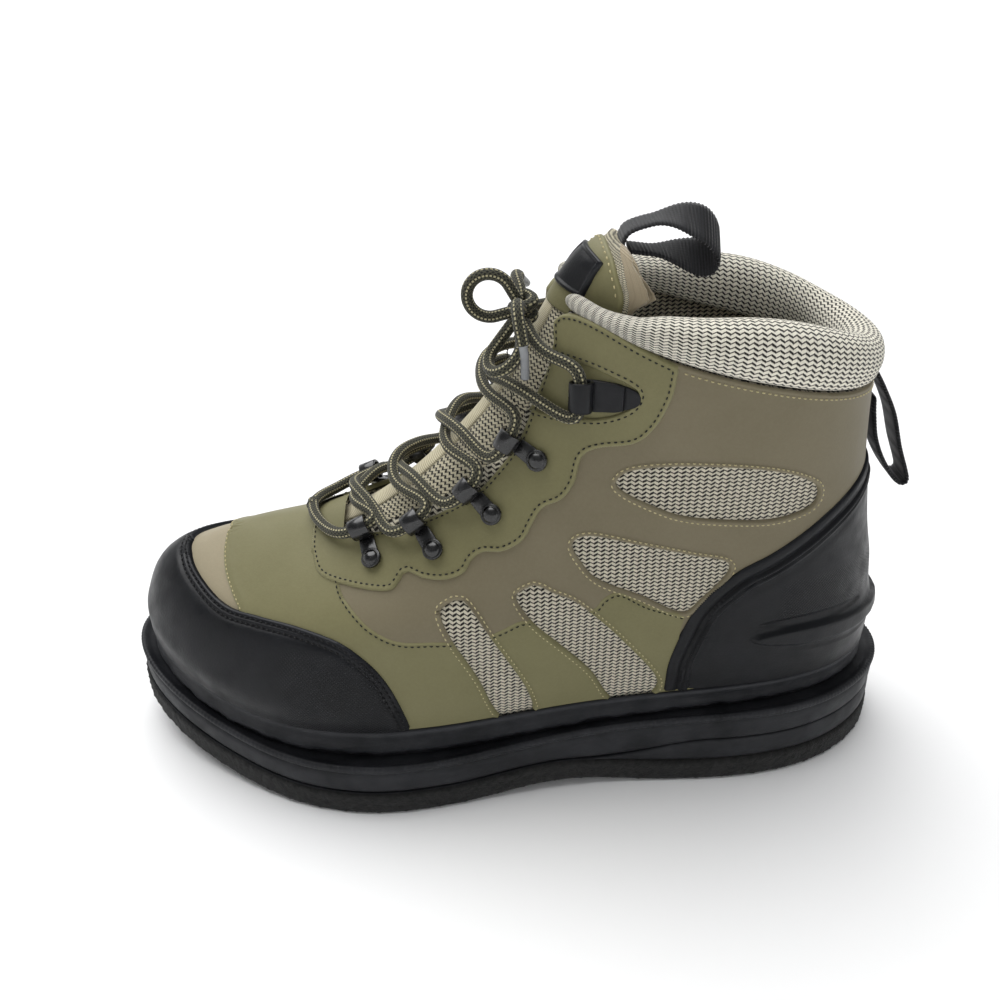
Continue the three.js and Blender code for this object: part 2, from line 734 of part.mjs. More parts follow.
const HOOK_LIFT = EYESTAY_THICK + 5 * GAP;
const TAB_LIFT = 2 * GAP;
const hookFrame = (hook, side) => keeperFrame(hook, side, HOOK_LIFT);
const tabFrame = (side) => keeperFrame(TAB, side, TAB_LIFT);
const makeHook = (hook, side) =>
  makeKeeper(hookFrame(hook, side), HOOK_REACH, HOOK_WIDTH, RIVET);
const makeTab = (side) => makeKeeper(tabFrame(side), TAB_REACH, TAB_WIDTH, 0);

// Webbing loops: side view of the strap's centre line, extruded across its width
function makeStrap(line, width, middleY) {
  const side = (p, q, r) => new THREE.Vector2(-(r.y - p.y), r.x - p.x).normalize().multiplyScalar(q * WEBBING);
  const half = (sign) =>
    line.map((p, i) => {
      const before = line[Math.max(i - 1, 0)];
      const after = line[Math.min(i + 1, line.length - 1)];
      const q = p.clone().add(side(before, sign / 2, after));
      return [q.x, q.y];
    });
  return prism([...half(1), ...half(-1).reverse()], width, sideAxes, new THREE.Vector3(0, middleY + width / 2, 0));
}

// Smooth line through points given as shares of one reach, placed at a root point in the side view
function strapLine(shares, reach, root, stations) {
  const points = shares.map(([a, b]) => new THREE.Vector2(root.x + a * reach, root.z + b * reach));
  return new THREE.SplineCurve(points).getPoints(stations);
}

// Heel loop from the seam, down behind the counter and back up to its lower stitching
const HEEL_LOOP_LINE = [
  [0, 0],
  [-0.09, -0.14],
  [-0.22, -0.38],
  [-0.325, -0.68],
  [-0.417, -0.9],
  [-0.445, -0.99],
  [-0.42, -1.03],
  [-0.35, -1],
  [-0.21, -0.81],
  [-0.11, -0.6],
  [-0.055, -0.38],
  [-0.03, -0.235],
];

function makeHeelLoop() {
  const seam = lastPoint(1, 0.5);
  const root = new THREE.Vector3(seam.x - HEEL_STRIP_THICK - GAP - WEBBING, seam.y, seam.z - 1);
  return makeStrap(strapLine(HEEL_LOOP_LINE, HEEL_LOOP_DROP, root, 26), HEEL_LOOP_WIDTH, seam.y);
}

// Tongue loop from the tongue's tip backwards over the foot's opening
const TONGUE_LOOP_LINE = [
  [0, 0],
  [-0.1, 0.17],
  [-0.5, 0.26],
  [-0.82, 0.18],
  [-0.97, 0],
  [-0.86, -0.13],
  [-0.5, -0.08],
  [-0.1, -0.03],
];

// The loop is sewn this far below the tip of the tongue
const TONGUE_LOOP_SEAT = 2.6;

function makeTongueLoop() {
  const top = tonguePoint(tongueRows[tongueRows.length - 1], 0, 0);
  const root = new THREE.Vector3(top.x - TONGUE_TOP_THICK / 3, top.y, top.z - TONGUE_LOOP_SEAT);
  return makeStrap(strapLine(TONGUE_LOOP_LINE, TONGUE_LOOP_REACH, root, 24), TONGUE_LOOP_WIDTH, top.y);
}

// Laces

function cord(points, steps, diameter = LACE) {
  const path = new THREE.CatmullRomCurve3(points, false, "centripetal");
  const shape = new THREE.Shape(regular(8, diameter / 2, 0.5).map(([a, b]) => new THREE.Vector2(a, b)));
  return new THREE.ExtrudeGeometry(shape, { steps, bevelEnabled: false, extrudePath: path, curveSegments: 1 });
}

const KNOT_LEVEL = 0.955;
const knotMiddle = offLast(KNOT_LEVEL, turnAcross(KNOT_LEVEL, 5), 6.3);
const KNOT_TURN = 3.4;
const BAR_LIFT = 5;
const BAR_DROP = 0.045;
const BAR_PLACES = [-0.1, 0.3, 0.75];
const SIDE_LIFT = 6.4;
const SIDE_PLACES = [0.28, 0.72];
const CROSSING_LIFTS = [4.4, 8];
const CROSSING_STRAIGHT = 9.5;
const BAR_STRAIGHT = 0.75;
const CROSSING_RISE = 0.75;
const CROSSING_STEPS = 41;
const KNOT_ROUNDS = 1.75;
const KNOT_STEPS = 18;

// Points along a keeper's bore, from where the lace goes in below it to where it comes out above
function throughBore(frame, reach, firstShare) {
  const middle = frame.middle
    .clone()
    .addScaledVector(frame.towards, reach / 2)
    .addScaledVector(frame.out, HOOK_BORE / 2 + HOOK_SHEET);
  return [-firstShare, -0.5, 0.5, 1].map((share) =>
    middle.clone().addScaledVector(frame.through, share * CROSSING_STRAIGHT * frame.sign),
  );
}

// Half of the laces: from the lowest bar up through one keeper of each pair to the knot
function lacePath(side, lift) {
  const stops = [...HOOKS, TAB].map((keeper, i) => ({ keeper, hand: i % 2 === 0 ? side : -side }));
  const over = ([a, b], share, height) => {
    const level = mix(a.keeper.bore[0], b.keeper.bore[0], 0.5 + (share - 0.5) * CROSSING_RISE);
    const turn = mix(a.hand * a.keeper.bore[1], b.hand * b.keeper.bore[1], share);
    return offLast(level, turn, height);
  };
  const [barLevel, barTurn] = [HOOKS[0].bore[0] - BAR_DROP, side * HOOKS[0].bore[1]];
  const points = BAR_PLACES.map((share) => offLast(barLevel, share * barTurn, BAR_LIFT));
  stops.forEach((stop, i) => {
    const pair = [stops[i - 1], stop];
    const [early, late] = SIDE_PLACES;
    if (i > 0) points.push(over(pair, early, SIDE_LIFT), over(pair, 0.5, lift), over(pair, late, SIDE_LIFT));
    const isTab = stop.keeper === TAB;
    const frame = isTab ? tabFrame(stop.hand) : hookFrame(stop.keeper, stop.hand);
    points.push(...throughBore(frame, isTab ? TAB_REACH : HOOK_REACH, i === 0 ? BAR_STRAIGHT : 1));
  });
  points.push(offLast(TAB.bore[0] + 0.03, side * 0.6 * TAB.bore[1], SIDE_LIFT));
  const atKnot = new THREE.Vector3(-0.5, side * (KNOT_TURN + LACE / 2 + GAP), side > 0 ? -3.1 : -0.6);
  points.push(atKnot.add(knotMiddle));
  return points;
}

function makeCrossings() {
  const halves = [1, -1].map((side, i) => cord(lacePath(side, CROSSING_LIFTS[i]), CROSSING_STEPS));
  return toGeometry(union(halves));
}

function makeKnot() {
  const points = range(KNOT_STEPS + 1).map((i) => {
    const share = i / KNOT_STEPS;
    const angle = 2 * Math.PI * KNOT_ROUNDS * share;
    const lift = (share - 0.5) * KNOT_ROUNDS * (LACE + 2 * GAP);
    return knotMiddle.clone().add(new THREE.Vector3(KNOT_TURN * Math.cos(angle), KNOT_TURN * Math.sin(angle), lift));
  });
  return cord(points, KNOT_STEPS);
}

// Bow: points from the knot's middle as shares of BOW_REACH, forwards, outwards and up
const LOOP_A = [
  [0.295, 0.05, 0.28],
  [0.45, 0.04, 0.53],
  [0.75, 0, 0.62],
  [0.95, -0.04, 0.53],
  [1.01, -0.06, 0.23],
  [0.99, -0.06, -0.07],
  [0.85, -0.06, -0.15],
  [0.5, -0.06, 0.02],
  [0.295, -0.04, 0.03],
];
const LOOP_B = [
  [0.24, 0.18, -0.06],
  [0.5, 0.34, -0.04],
  [0.61, 0.45, -0.14],
  [0.61, 0.62, -0.42],
  [0.52, 0.85, -0.9],
  [0.4, 0.75, -0.67],
  [0.3, 0.5, -0.38],
  [0.27, 0.38, -0.3],
];
const END_A = [
  [0.06, 0.29, 0.1],
  [0.13, 0.55, 0.3],
  [0.14, 0.8, 0.24],
  [0.11, 0.94, 0.03],
  [0.02, 1, -0.43],
  [0, 1.02, -0.9],
];
const END_B = [
  [0.03, -0.295, 0.22],
  [0.1, -0.7, 0.36],
  [0.02, -1.25, 0.2],
  [-0.15, -1.75, -0.1],
];
const bowPoints = (shares) =>
  shares.map((share) => knotMiddle.clone().add(new THREE.Vector3(...share).multiplyScalar(BOW_REACH)));

// The boot

const finishes = {
  felt: [0x1c1b1a, 0.95],
  rubber: [0x202124, 0.6],
  foam: [0x2a2b2e, 0.8],
  leather: [0x757253, 0.6],
  coated_leather: [0x6c6850, 0.55],
  knit: [0xb8ad90, 0.9],
  lining: [0x968468, 0.85],
  webbing: [0x1b1b1d, 0.85],
  hook_metal: [0x121214, 0.25],
  lace: [0x3a3932, 0.8],
  patch: [0x232427, 0.5],
};

const boot = new THREE.Group();
boot.name = "wading_boot";

function addNode(name, finish, geometry) {
  const [color, roughness] = finishes[finish];
  const material = new THREE.MeshStandardMaterial({ color, roughness, name: finish });
  const mesh = new THREE.Mesh(geometry, material);
  mesh.name = name;
  boot.add(mesh);
}

addNode("outsole_felt", "felt", makeFelt());
addNode("heel_wedge", "foam", makeHeelWedge());
addNode("midsole", "rubber", makeMidsole());
addNode("rand", "rubber", makeRand());
addNode("insole", "lining", makeInsole());
addNode("upper", "leather", makeUpper());
addNode("toe_cap", "rubber", makeToeCap());
addNode("heel_counter", "rubber", makeCounter());
addNode("eyestay", "coated_leather", makeEyestay());
addNode("heel_strip", "leather", makeHeelStrip());
addNode("collar", "knit", makeCollar());
addNode("tongue", "knit", makeTongue());
addNode("tongue_patch", "patch", makePatch());
addNode("tongue_pull_loop", "webbing", makeTongueLoop());
addNode("heel_pull_loop", "webbing", makeHeelLoop());
HOOKS.forEach((hook, i) => {
  addNode(`lace_hook_outer_${i + 1}`, "hook_metal", makeHook(hook, 1));
  addNode(`lace_hook_inner_${i + 1}`, "hook_metal", makeHook(hook, -1));
});
addNode("lace_tab_outer", "webbing", makeTab(1));
addNode("lace_tab_inner", "webbing", makeTab(-1));
addNode("lace_crossings", "lace", makeCrossings());
addNode("lace_knot", "lace", makeKnot());
addNode("lace_loop_a", "lace", cord(bowPoints(LOOP_A), 14));
addNode("lace_loop_b", "lace", cord(bowPoints(LOOP_B), 12));
addNode("lace_end_a", "lace", cord(bowPoints(END_A), 6));
addNode("lace_end_b", "lace", cord(bowPoints(END_B), 5));

export default boot;
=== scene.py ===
import math

import bmesh
import bpy
import numpy as np
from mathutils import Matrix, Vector, geometry, kdtree


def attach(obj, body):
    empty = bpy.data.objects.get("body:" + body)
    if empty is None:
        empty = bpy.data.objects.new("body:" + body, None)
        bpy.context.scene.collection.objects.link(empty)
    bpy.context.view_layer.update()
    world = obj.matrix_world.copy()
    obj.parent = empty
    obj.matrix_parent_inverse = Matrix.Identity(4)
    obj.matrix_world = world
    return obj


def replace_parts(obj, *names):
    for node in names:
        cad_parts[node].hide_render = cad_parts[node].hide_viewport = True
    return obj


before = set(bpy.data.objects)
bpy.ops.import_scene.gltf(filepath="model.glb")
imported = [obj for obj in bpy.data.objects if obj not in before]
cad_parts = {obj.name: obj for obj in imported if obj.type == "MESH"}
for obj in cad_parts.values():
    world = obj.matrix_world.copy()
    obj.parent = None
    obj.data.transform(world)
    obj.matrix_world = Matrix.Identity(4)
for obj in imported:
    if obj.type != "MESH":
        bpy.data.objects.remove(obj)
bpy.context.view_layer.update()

# Lengths are millimetres until a mesh is made. +X heel to toe, +Y to the outer side, +Z up.
MM = 0.001
SOLE_LENGTH = 320
BALL_WIDTH = 120
HEEL_TO_ORIGIN = 46
TOE_SPRING = 15
ARCH_LIFT = 3
FELT = 10
HEEL_WEDGE = 10
MIDSOLE_FORE = 14
MIDSOLE_HEEL = 24
LEDGE_STEP = 1.5
RAND_FORE = 12
RAND_HEEL = 9
UPPER_HEIGHT = 156
UPPER_WALL = 2.4
TONGUE_WIDTH = 62
TONGUE_THICK = 4.5
TONGUE_TOP_THICK = 13
COLLAR_THICK = 16
COLLAR_ROLL = 22
HOOK_WIDTH = 6.5
HOOK_SHEET = 1.1
HOOK_BORE = 6.2
HOOK_REACH = 12
RIVET = 7.2
TAB_REACH = 15
LACE = 4.4
WEBBING = 1.6
HEEL_LOOP_WIDTH = 15
TONGUE_LOOP_WIDTH = 14
HEEL_LOOP_DROP = 47
TONGUE_LOOP_REACH = 36
BOW_REACH = 20
HEEL_STRIP_THICK = 1.3
GAP = 0.3
EYESTAY_THICK = 1.2

SOLE_HALF_WIDTHS = np.array([0.219, 0.376, 0.39, 0.42, 0.508, 0.423, 0.224])
CENTRE_LINE = np.array([
    [0, -0.008], [0.144, 0.012], [0.269, 0.037], [0.425, 0.054], [0.566, 0.067],
    [0.659, 0.058], [0.753, 0.017], [0.85, -0.033], [0.931, -0.058], [1.006, -0.083],
])
# Rings of the last: front, its height, back, its height, sag, lean, five half widths
LAST_ROWS = np.array([
    [0.972, 0, 0.031, 0, 0, 0, 0.275, 0.433, 0.358, 0.325, 0.238],
    [0.969, 0.073, 0.03, 0.058, 0.003, 0, 0.283, 0.45, 0.371, 0.333, 0.242],
    [0.938, 0.2, 0.031, 0.115, 0.01, 0, 0.242, 0.417, 0.367, 0.333, 0.242],
    [0.85, 0.325, 0.039, 0.179, 0, 0, 0.183, 0.383, 0.358, 0.325, 0.233],
    [0.738, 0.413, 0.045, 0.256, 0, 0, 0.167, 0.333, 0.342, 0.317, 0.217],
    [0.644, 0.51, 0.055, 0.346, -0.01, -0.008, 0.167, 0.312, 0.337, 0.312, 0.208],
    [0.556, 0.675, 0.064, 0.449, -0.013, -0.017, 0.167, 0.3, 0.337, 0.308, 0.206],
    [0.497, 0.835, 0.073, 0.59, -0.022, -0.027, 0.175, 0.3, 0.346, 0.317, 0.208],
    [0.459, 0.99, 0.08, 0.75, -0.032, -0.037, 0.183, 0.317, 0.362, 0.333, 0.217],
    [0.434, 1.075, 0.083, 0.83, -0.035, -0.037, 0.2, 0.33, 0.37, 0.34, 0.22],
    [0.4, 1.13, 0.087, 0.9, -0.035, -0.037, 0.217, 0.35, 0.38, 0.35, 0.225],
])
SEAM_ROW = 8
THROAT_START = 0.505
THROAT_SHAPE = np.array([
    [0, 0.06], [0.02, 0.1], [0.06, 0.125], [0.15, 0.15], [0.32, 0.185], [0.48, 0.21],
    [0.66, 0.205], [0.82, 0.18], [0.955, 0.16], [1.3, 0.15],
])

# Side views: share of the sole's length from the heel, share of the upper's height above the rim
TOE_CAP_EDGE = [
    [0.622, -0.1], [0.625, 0.02], [0.636, 0.1], [0.652, 0.167], [0.673, 0.215], [0.703, 0.247],
    [0.75, 0.253], [0.8, 0.24], [0.843, 0.225], [0.878, 0.232], [0.905, 0.25], [0.918, 0.3],
]
COUNTER_EDGE = [
    [0.318, -0.1], [0.315, 0.02], [0.313, 0.1], [0.3, 0.19], [0.281, 0.268], [0.244, 0.34],
    [0.203, 0.38], [0.169, 0.42], [0.134, 0.47], [0.106, 0.51], [0.08, 0.545],
]
EYESTAY_EDGE = [
    [0.739, 0.372], [0.728, 0.346], [0.7, 0.343], [0.645, 0.352], [0.63, 0.372], [0.622, 0.392],
    [0.603, 0.386], [0.578, 0.388], [0.556, 0.404], [0.546, 0.432], [0.533, 0.449], [0.512, 0.452],
    [0.489, 0.478], [0.477, 0.52], [0.466, 0.553], [0.446, 0.572], [0.432, 0.612], [0.424, 0.67],
    [0.405, 0.69], [0.37, 0.7], [0.35, 0.735], [0.337, 0.79], [0.331, 0.85], [0.325, 1.05],
]
EYESTAY_FRONT = 0.74
EYESTAY_WINDOW = [
    [0.49, 0.845], [0.462, 0.875], [0.428, 0.872], [0.4, 0.855], [0.373, 0.828], [0.37, 0.805],
    [0.381, 0.778], [0.406, 0.76], [0.44, 0.758], [0.47, 0.762], [0.49, 0.775],
]
# Knit windows in the quarter
WINDOWS = [
    [[0.388, 0.609], [0.375, 0.633], [0.341, 0.64], [0.297, 0.635], [0.241, 0.617], [0.194, 0.59],
     [0.159, 0.551], [0.153, 0.513], [0.166, 0.487], [0.209, 0.474], [0.269, 0.491], [0.316, 0.515],
     [0.359, 0.56], [0.381, 0.589]],
    [[0.434, 0.463], [0.425, 0.481], [0.403, 0.477], [0.356, 0.444], [0.3, 0.404], [0.25, 0.361],
     [0.281, 0.274], [0.303, 0.244], [0.353, 0.309], [0.403, 0.368], [0.425, 0.423]],
    [[0.497, 0.344], [0.491, 0.363], [0.475, 0.373], [0.459, 0.352], [0.425, 0.308], [0.372, 0.184],
     [0.325, 0.05], [0.335, -0.01], [0.375, -0.01], [0.406, 0.1], [0.444, 0.195], [0.475, 0.271]],
    [[0.584, 0.32], [0.578, 0.339], [0.562, 0.351], [0.55, 0.331], [0.534, 0.278], [0.509, 0.179],
     [0.484, 0.073], [0.478, -0.01], [0.513, -0.01], [0.541, 0.131], [0.569, 0.249]],
]
# Upper edge of the olive panel that runs back from the vamp along the sole
LOW_PANEL_EDGE = [
    [0.297, 0.237], [0.341, 0.281], [0.378, 0.332], [0.4, 0.316], [0.412, 0.293], [0.475, 0.29],
    [0.494, 0.293], [0.525, 0.271], [0.569, 0.262], [0.597, 0.263], [0.631, 0.263], [0.659, 0.282],
    [0.681, 0.308], [0.697, 0.333], [0.702, 0.36],
]
# Where the quarter goes under the low panel and under the eyestay
QUARTER_FOOT = [
    [0.33, 0.21], [0.345, 0.25], [0.378, 0.29], [0.4, 0.275], [0.415, 0.255], [0.475, 0.25], [0.525, 0.235],
    [0.569, 0.228], [0.631, 0.228], [0.668, 0.25], [0.692, 0.285], [0.705, 0.33],
]
QUARTER_FRONT = [
    [0.7, 0.38], [0.655, 0.39], [0.62, 0.425], [0.57, 0.44], [0.54, 0.485], [0.5, 0.51], [0.48, 0.57],
    [0.455, 0.61], [0.44, 0.7], [0.4, 0.72], [0.37, 0.74], [0.355, 0.8], [0.348, 0.9],
]
TOE_SEAM = [[0.859, 0.316], [0.859, 0.29], [0.853, 0.267], [0.841, 0.245], [0.828, 0.223], [0.815, 0.18]]

HOOKS = [
    [(0.498, 0.112), (0.543, 0.075)],
    [(0.573, 0.129), (0.612, 0.092)],
    [(0.671, 0.133), (0.692, 0.1)],
    [(0.769, 0.13), (0.78, 0.098)],
]
TAB = [(0.912, 0.166), (0.895, 0.133)]

ROLL_HEIGHT = np.array([
    [0.05, 0.74], [0.1, 0.82], [0.15, 0.95], [0.2, 1], [0.25, 0.93], [0.31, 0.7],
    [0.37, 0.46], [0.41, 0.31], [0.46, 0.2],
])
ROLL_THICKNESS = np.array([[0.05, 1], [0.3, 1], [0.38, 0.7], [0.46, 0.38]])
ROLL_SECTION = [
    [0, 0.02], [0.17, 0.28], [0.2, 0.55], [0.08, 0.86], [-0.26, 1], [-0.6, 0.94],
    [-0.82, 0.7], [-0.86, 0.34], [-0.72, 0.03],
]
COLLAR_START = 0.064
# level, depth at the middle and the edges, width, swell
TONGUE_ROWS = np.array([
    [0.43, 3.6, 3.6, 0.8, 0], [0.49, 3.6, 3.6, 0.86, 0], [0.54, 2.8, 3.6, 0.92, 0],
    [0.62, 1.2, 3.6, 0.96, 0], [0.75, 0.8, 3.6, 1, 0], [0.85, 0.8, 4.5, 1, 0],
    [0.93, 1.4, 7.5, 1, 0.1], [0.99, 2.4, 11, 1, 0.3], [1.03, 3, 11, 1, 0.6],
    [1.07, 3.6, 10, 0.99, 0.85], [1.11, 4, 9, 0.96, 1], [1.15, 4.4, 8, 0.88, 1],
    [1.19, 4.8, 7, 0.72, 0.9], [1.22, 5.4, 6.4, 0.5, 0.7],
])
HEEL_LOOP_LINE = [
    [0, 0], [-0.09, -0.14], [-0.22, -0.38], [-0.325, -0.68], [-0.417, -0.9], [-0.445, -0.99],
    [-0.42, -1.03], [-0.35, -1], [-0.21, -0.81], [-0.11, -0.6], [-0.055, -0.38], [-0.03, -0.235],
]
TONGUE_LOOP_LINE = [
    [0, 0], [-0.1, 0.17], [-0.5, 0.26], [-0.82, 0.18], [-0.97, 0], [-0.86, -0.13],
    [-0.5, -0.08], [-0.1, -0.03],
]
LOOP_A = {"out": (12.1, -0.8, 4.7), "across": (-4.7, 0.9, 12.1), "reach": 12.8, "radius": 7.9}
LOOP_B = {"out": (9.6, 17.5, -16.5), "across": (0.5, -0.5, -0.24), "reach": 18.6, "radius": 7.4}
END_A = [
    [0.06, 0.29, 0.1], [0.13, 0.55, 0.3], [0.14, 0.8, 0.24], [0.11, 0.94, 0.03],
    [0.02, 1, -0.43], [0, 1.02, -0.9],
]
END_B = [[0.03, -0.295, 0.22], [0.1, -0.7, 0.36], [0.02, -1.25, 0.2], [-0.15, -1.75, -0.1]]

# Curves and the last, for arrays of places


def mix(a, b, t):
    return a + (b - a) * t


def smooth(t):
    t = np.clip(t, 0, 1)
    return t * t * (3 - 2 * t)


def along(share):
    return np.asarray(share) * SOLE_LENGTH - HEEL_TO_ORIGIN


def unit(v):
    v = np.asarray(v, float)
    return v / np.maximum(np.linalg.norm(v, axis=-1, keepdims=True), 1e-12)


def read_table(table, at):
    """Smooth curve through a table's second column, by its first"""
    x, y = table[:, 0], table[:, 1]
    chord = np.diff(y) / np.diff(x)
    inner = (y[2:] - y[:-2]) / (x[2:] - x[:-2])
    slope = np.concatenate([chord[:1], inner, chord[-1:]])
    at = np.asarray(at, float)
    i = np.clip(np.searchsorted(x, at, side="right") - 1, 0, len(x) - 2)
    step = x[i + 1] - x[i]
    t = np.clip((at - x[i]) / step, 0, 1)
    t2, t3 = t * t, t ** 3
    value = (2 * t3 - 3 * t2 + 1) * y[i] + (t3 - 2 * t2 + t) * step * slope[i]
    return value + (3 * t2 - 2 * t3) * y[i + 1] + (t3 - t2) * step * slope[i + 1]


def curve(points, count, closed=False):
    """Smooth line through points, evenly spaced"""
    p = np.asarray(points, float)
    n = len(p)
    spans = n if closed else n - 1
    t = np.linspace(0, spans, 24 * spans + 1)
    i = np.minimum(t.astype(int), spans - 1)
    f = (t - i)[:, None]
    if closed:
        a, b, c, d = (p[(i + k) % n] for k in (-1, 0, 1, 2))
    else:
        wide = np.vstack([2 * p[0] - p[1], p, 2 * p[-1] - p[-2]])
        a, b, c, d = (wide[i + k] for k in range(4))
    line = b + 0.5 * f * (c - a + f * (2 * a - 5 * b + 4 * c - d + f * (3 * (b - c) + d - a)))
    return even(line, count)


def even(line, count):
    """A line's points moved to equal steps of its length"""
    far = along_line(line)
    at = np.linspace(0, far[-1], count)
    return np.stack([np.interp(at, far, line[:, k]) for k in range(line.shape[1])], 1)


def along_line(line):
    """Distance from a line's start to each of its points"""
    return np.concatenate([[0], np.cumsum(np.linalg.norm(np.diff(line, axis=0), axis=1))])


def length_of(line):
    return float(np.linalg.norm(np.diff(line, axis=0), axis=1).sum())


def left_of(line):
    """Unit steps to the left of a flat line"""
    run = unit(np.gradient(line, axis=0))
    return np.stack([-run[:, 1], run[:, 0]], 1)


def halved(low, high, below, steps=24):
    """Places found by halving, up to which a condition holds"""
    for _ in range(steps):
        half = (low + high) / 2
        holds = below(half)
        low, high = np.where(holds, half, low), np.where(holds, high, half)
    return low


SPRING_START = float(along(0.72))
TOE_END = float(along(1))


def spring(x):
    return TOE_SPRING * np.maximum(0, (x - SPRING_START) / (TOE_END - SPRING_START)) ** 2


def felt_bottom(x):
    share = np.clip((x - along(0.3)) / (along(0.58) - along(0.3)), 0, 1)
    return ARCH_LIFT * np.sin(np.pi * share) ** 2 + spring(x)


def felt_top(x):
    return felt_bottom(x) + FELT


def wedge_top(x):
    return felt_top(x) + GAP + HEEL_WEDGE * smooth((along(0.42) - x) / (along(0.42) - along(0.25)))


def heel_share(x):
    return smooth((along(0.61) - x) / (along(0.61) - along(0.2)))


def midsole_top(x):
    return FELT + mix(MIDSOLE_FORE, MIDSOLE_HEEL, heel_share(x)) + spring(x)


def ledge(x):
    return midsole_top(x) - LEDGE_STEP


def rim(x):
    return midsole_top(x) + mix(RAND_FORE, RAND_HEEL, heel_share(x))


def centre_line(x):
    return BALL_WIDTH * read_table(CENTRE_LINE, (x + HEEL_TO_ORIGIN) / SOLE_LENGTH)


def rounded_width(values, angle):
    """Half width that is zero at both ends; values is (places, steps) or one row of steps"""
    steps = values.shape[-1] + 1
    k = np.arange(1, steps)
    sines = np.sin(np.outer(k, k) * np.pi / steps)
    weights = 2 / steps * (values @ sines)
    return (weights * np.sin(angle[..., None] * k)).sum(-1)


def row_point(index, turn):
    row = LAST_ROWS[index]
    whole = 2 * np.pi * (turn % 1)
    side = np.where(whole <= np.pi, 1, -1)
    angle = np.where(side > 0, whole, 2 * np.pi - whole)
    back = (1 - np.cos(angle)) / 2
    x = along(mix(row[..., 0], row[..., 2], back))
    half = BALL_WIDTH * rounded_width(row[..., 6:11], angle)
    up = mix(row[..., 1], row[..., 3], back) + row[..., 4] * np.sin(np.pi * back)
    y = centre_line(x) + BALL_WIDTH * row[..., 5] + side * half
    return np.stack([x, y, rim(x) + UPPER_HEIGHT * up], -1)


def last_point(level, turn):
    """Outer surface of the upper: level 0 is the rim, 1 the collar seam, and turn goes round from the toe"""
    level, turn = np.broadcast_arrays(np.asarray(level, float), np.asarray(turn, float))
    most = len(LAST_ROWS) - 1
    place = level * SEAM_ROW
    i = np.clip(np.floor(place).astype(int), 0, most - 1)
    t = (place - i)[..., None]
    a, b, c, d = (row_point(np.clip(i + k, 0, most), turn) for k in (-1, 0, 1, 2))
    a = np.where((i == 0)[..., None], 2 * b - c, a)
    return (
        a * (-t + 2 * t * t - t ** 3) / 2 + b * (2 - 5 * t * t + 3 * t ** 3) / 2
        + c * (t + 4 * t * t - 3 * t ** 3) / 2 + d * (t ** 3 - t * t) / 2
    )


def last_frame(level, turn):
    """Steps of the last per turn and per level, and its outward normal"""
    step = 1e-3
    up = (last_point(level + step, turn) - last_point(level - step, turn)) / (2 * step)
    round_ = (last_point(level, turn + step) - last_point(level, turn - step)) / (2 * step)
    return round_, up, unit(np.cross(round_, up))


def off_last(level, turn, distance):
    normal = last_frame(np.asarray(level, float), np.asarray(turn, float))[2]
    return last_point(level, turn) + normal * np.asarray(distance, float)[..., None]


def skirt_point(turn, distance, lift):
    turn = np.asarray(turn, float)
    flat = last_frame(np.zeros_like(turn), turn)[2] * [1, 1, 0]
    p = last_point(np.zeros_like(turn), turn) + unit(flat) * np.asarray(distance, float)[..., None]
    return np.stack([p[..., 0], p[..., 1], ledge(p[..., 0]) + lift], -1)


def from_side(shares):
    """(turn, level) of points given in the side view"""
    shares = np.asarray(shares, float)
    x = along(shares[:, 0])
    goal = np.stack([x, rim(x) + UPPER_HEIGHT * shares[:, 1]], 1)
    turns, levels = np.meshgrid(np.linspace(0.002, 0.498, 180), np.linspace(-0.06, 1.1, 180))
    spots = np.stack([turns.ravel(), levels.ravel()], 1)
    places = last_point(spots[:, 1], spots[:, 0])[:, [0, 2]]
    best = np.array([spots[np.argmin(((places - g) ** 2).sum(1))] for g in goal])
    for reach in (1, 0.1):
        a, b = np.meshgrid(np.linspace(-1, 1, 21), np.linspace(-1, 1, 21))
        near = best[:, None] + reach * np.stack([a.ravel() * 0.0028, b.ravel() * 0.0065], 1)
        near[..., 0] = np.clip(near[..., 0], 0, 0.5)
        places = last_point(near[..., 1], near[..., 0])[..., [0, 2]]
        pick = ((places - goal[:, None]) ** 2).sum(-1).argmin(1)
        best = near[np.arange(len(best)), pick]
    return best


def level_at_x(turn, share):
    """Level where the last passes a place along the sole, near its front line"""
    ahead = lambda level: last_point(level, turn)[..., 0] > along(share)
    return halved(np.zeros_like(turn) + 0.15, np.ones_like(turn), ahead)


throat_foot = last_point(THROAT_START, 0.0)
throat_head = last_point(1.0, 0.0)
throat_run = (throat_head - throat_foot) * [1, 0, 1]
THROAT_LENGTH = float(np.linalg.norm(throat_run))


def throat_edge(levels):
    """Turn of the throat's edge on the outer side at some levels, and on the inner side"""
    direction = throat_run / THROAT_LENGTH

    def within(turn, side):
        p = last_point(levels, side * turn)
        share = ((p - throat_foot) @ direction) / THROAT_LENGTH
        middle = throat_foot[1] + (throat_head[1] - throat_foot[1]) * np.clip(share, 0, 1)
        width = BALL_WIDTH * np.interp(share, THROAT_SHAPE[:, 0], THROAT_SHAPE[:, 1])
        return (side * (p[:, 1] - middle) < width) & (share > 0)

    start, end = np.zeros_like(levels), np.full_like(levels, 0.2)
    return [halved(start, end, lambda turn: within(turn, side), 26) for side in (1, -1)]


# Materials


def linear(c):
    return c / 255 / 12.92 if c < 10.3 else ((c / 255 + 0.055) / 1.055) ** 2.4


def srgb(*parts):
    return tuple(linear(c) for c in parts) + (1,)


def dimmed(color, share):
    return tuple(share * c for c in color[:3]) + (1,)


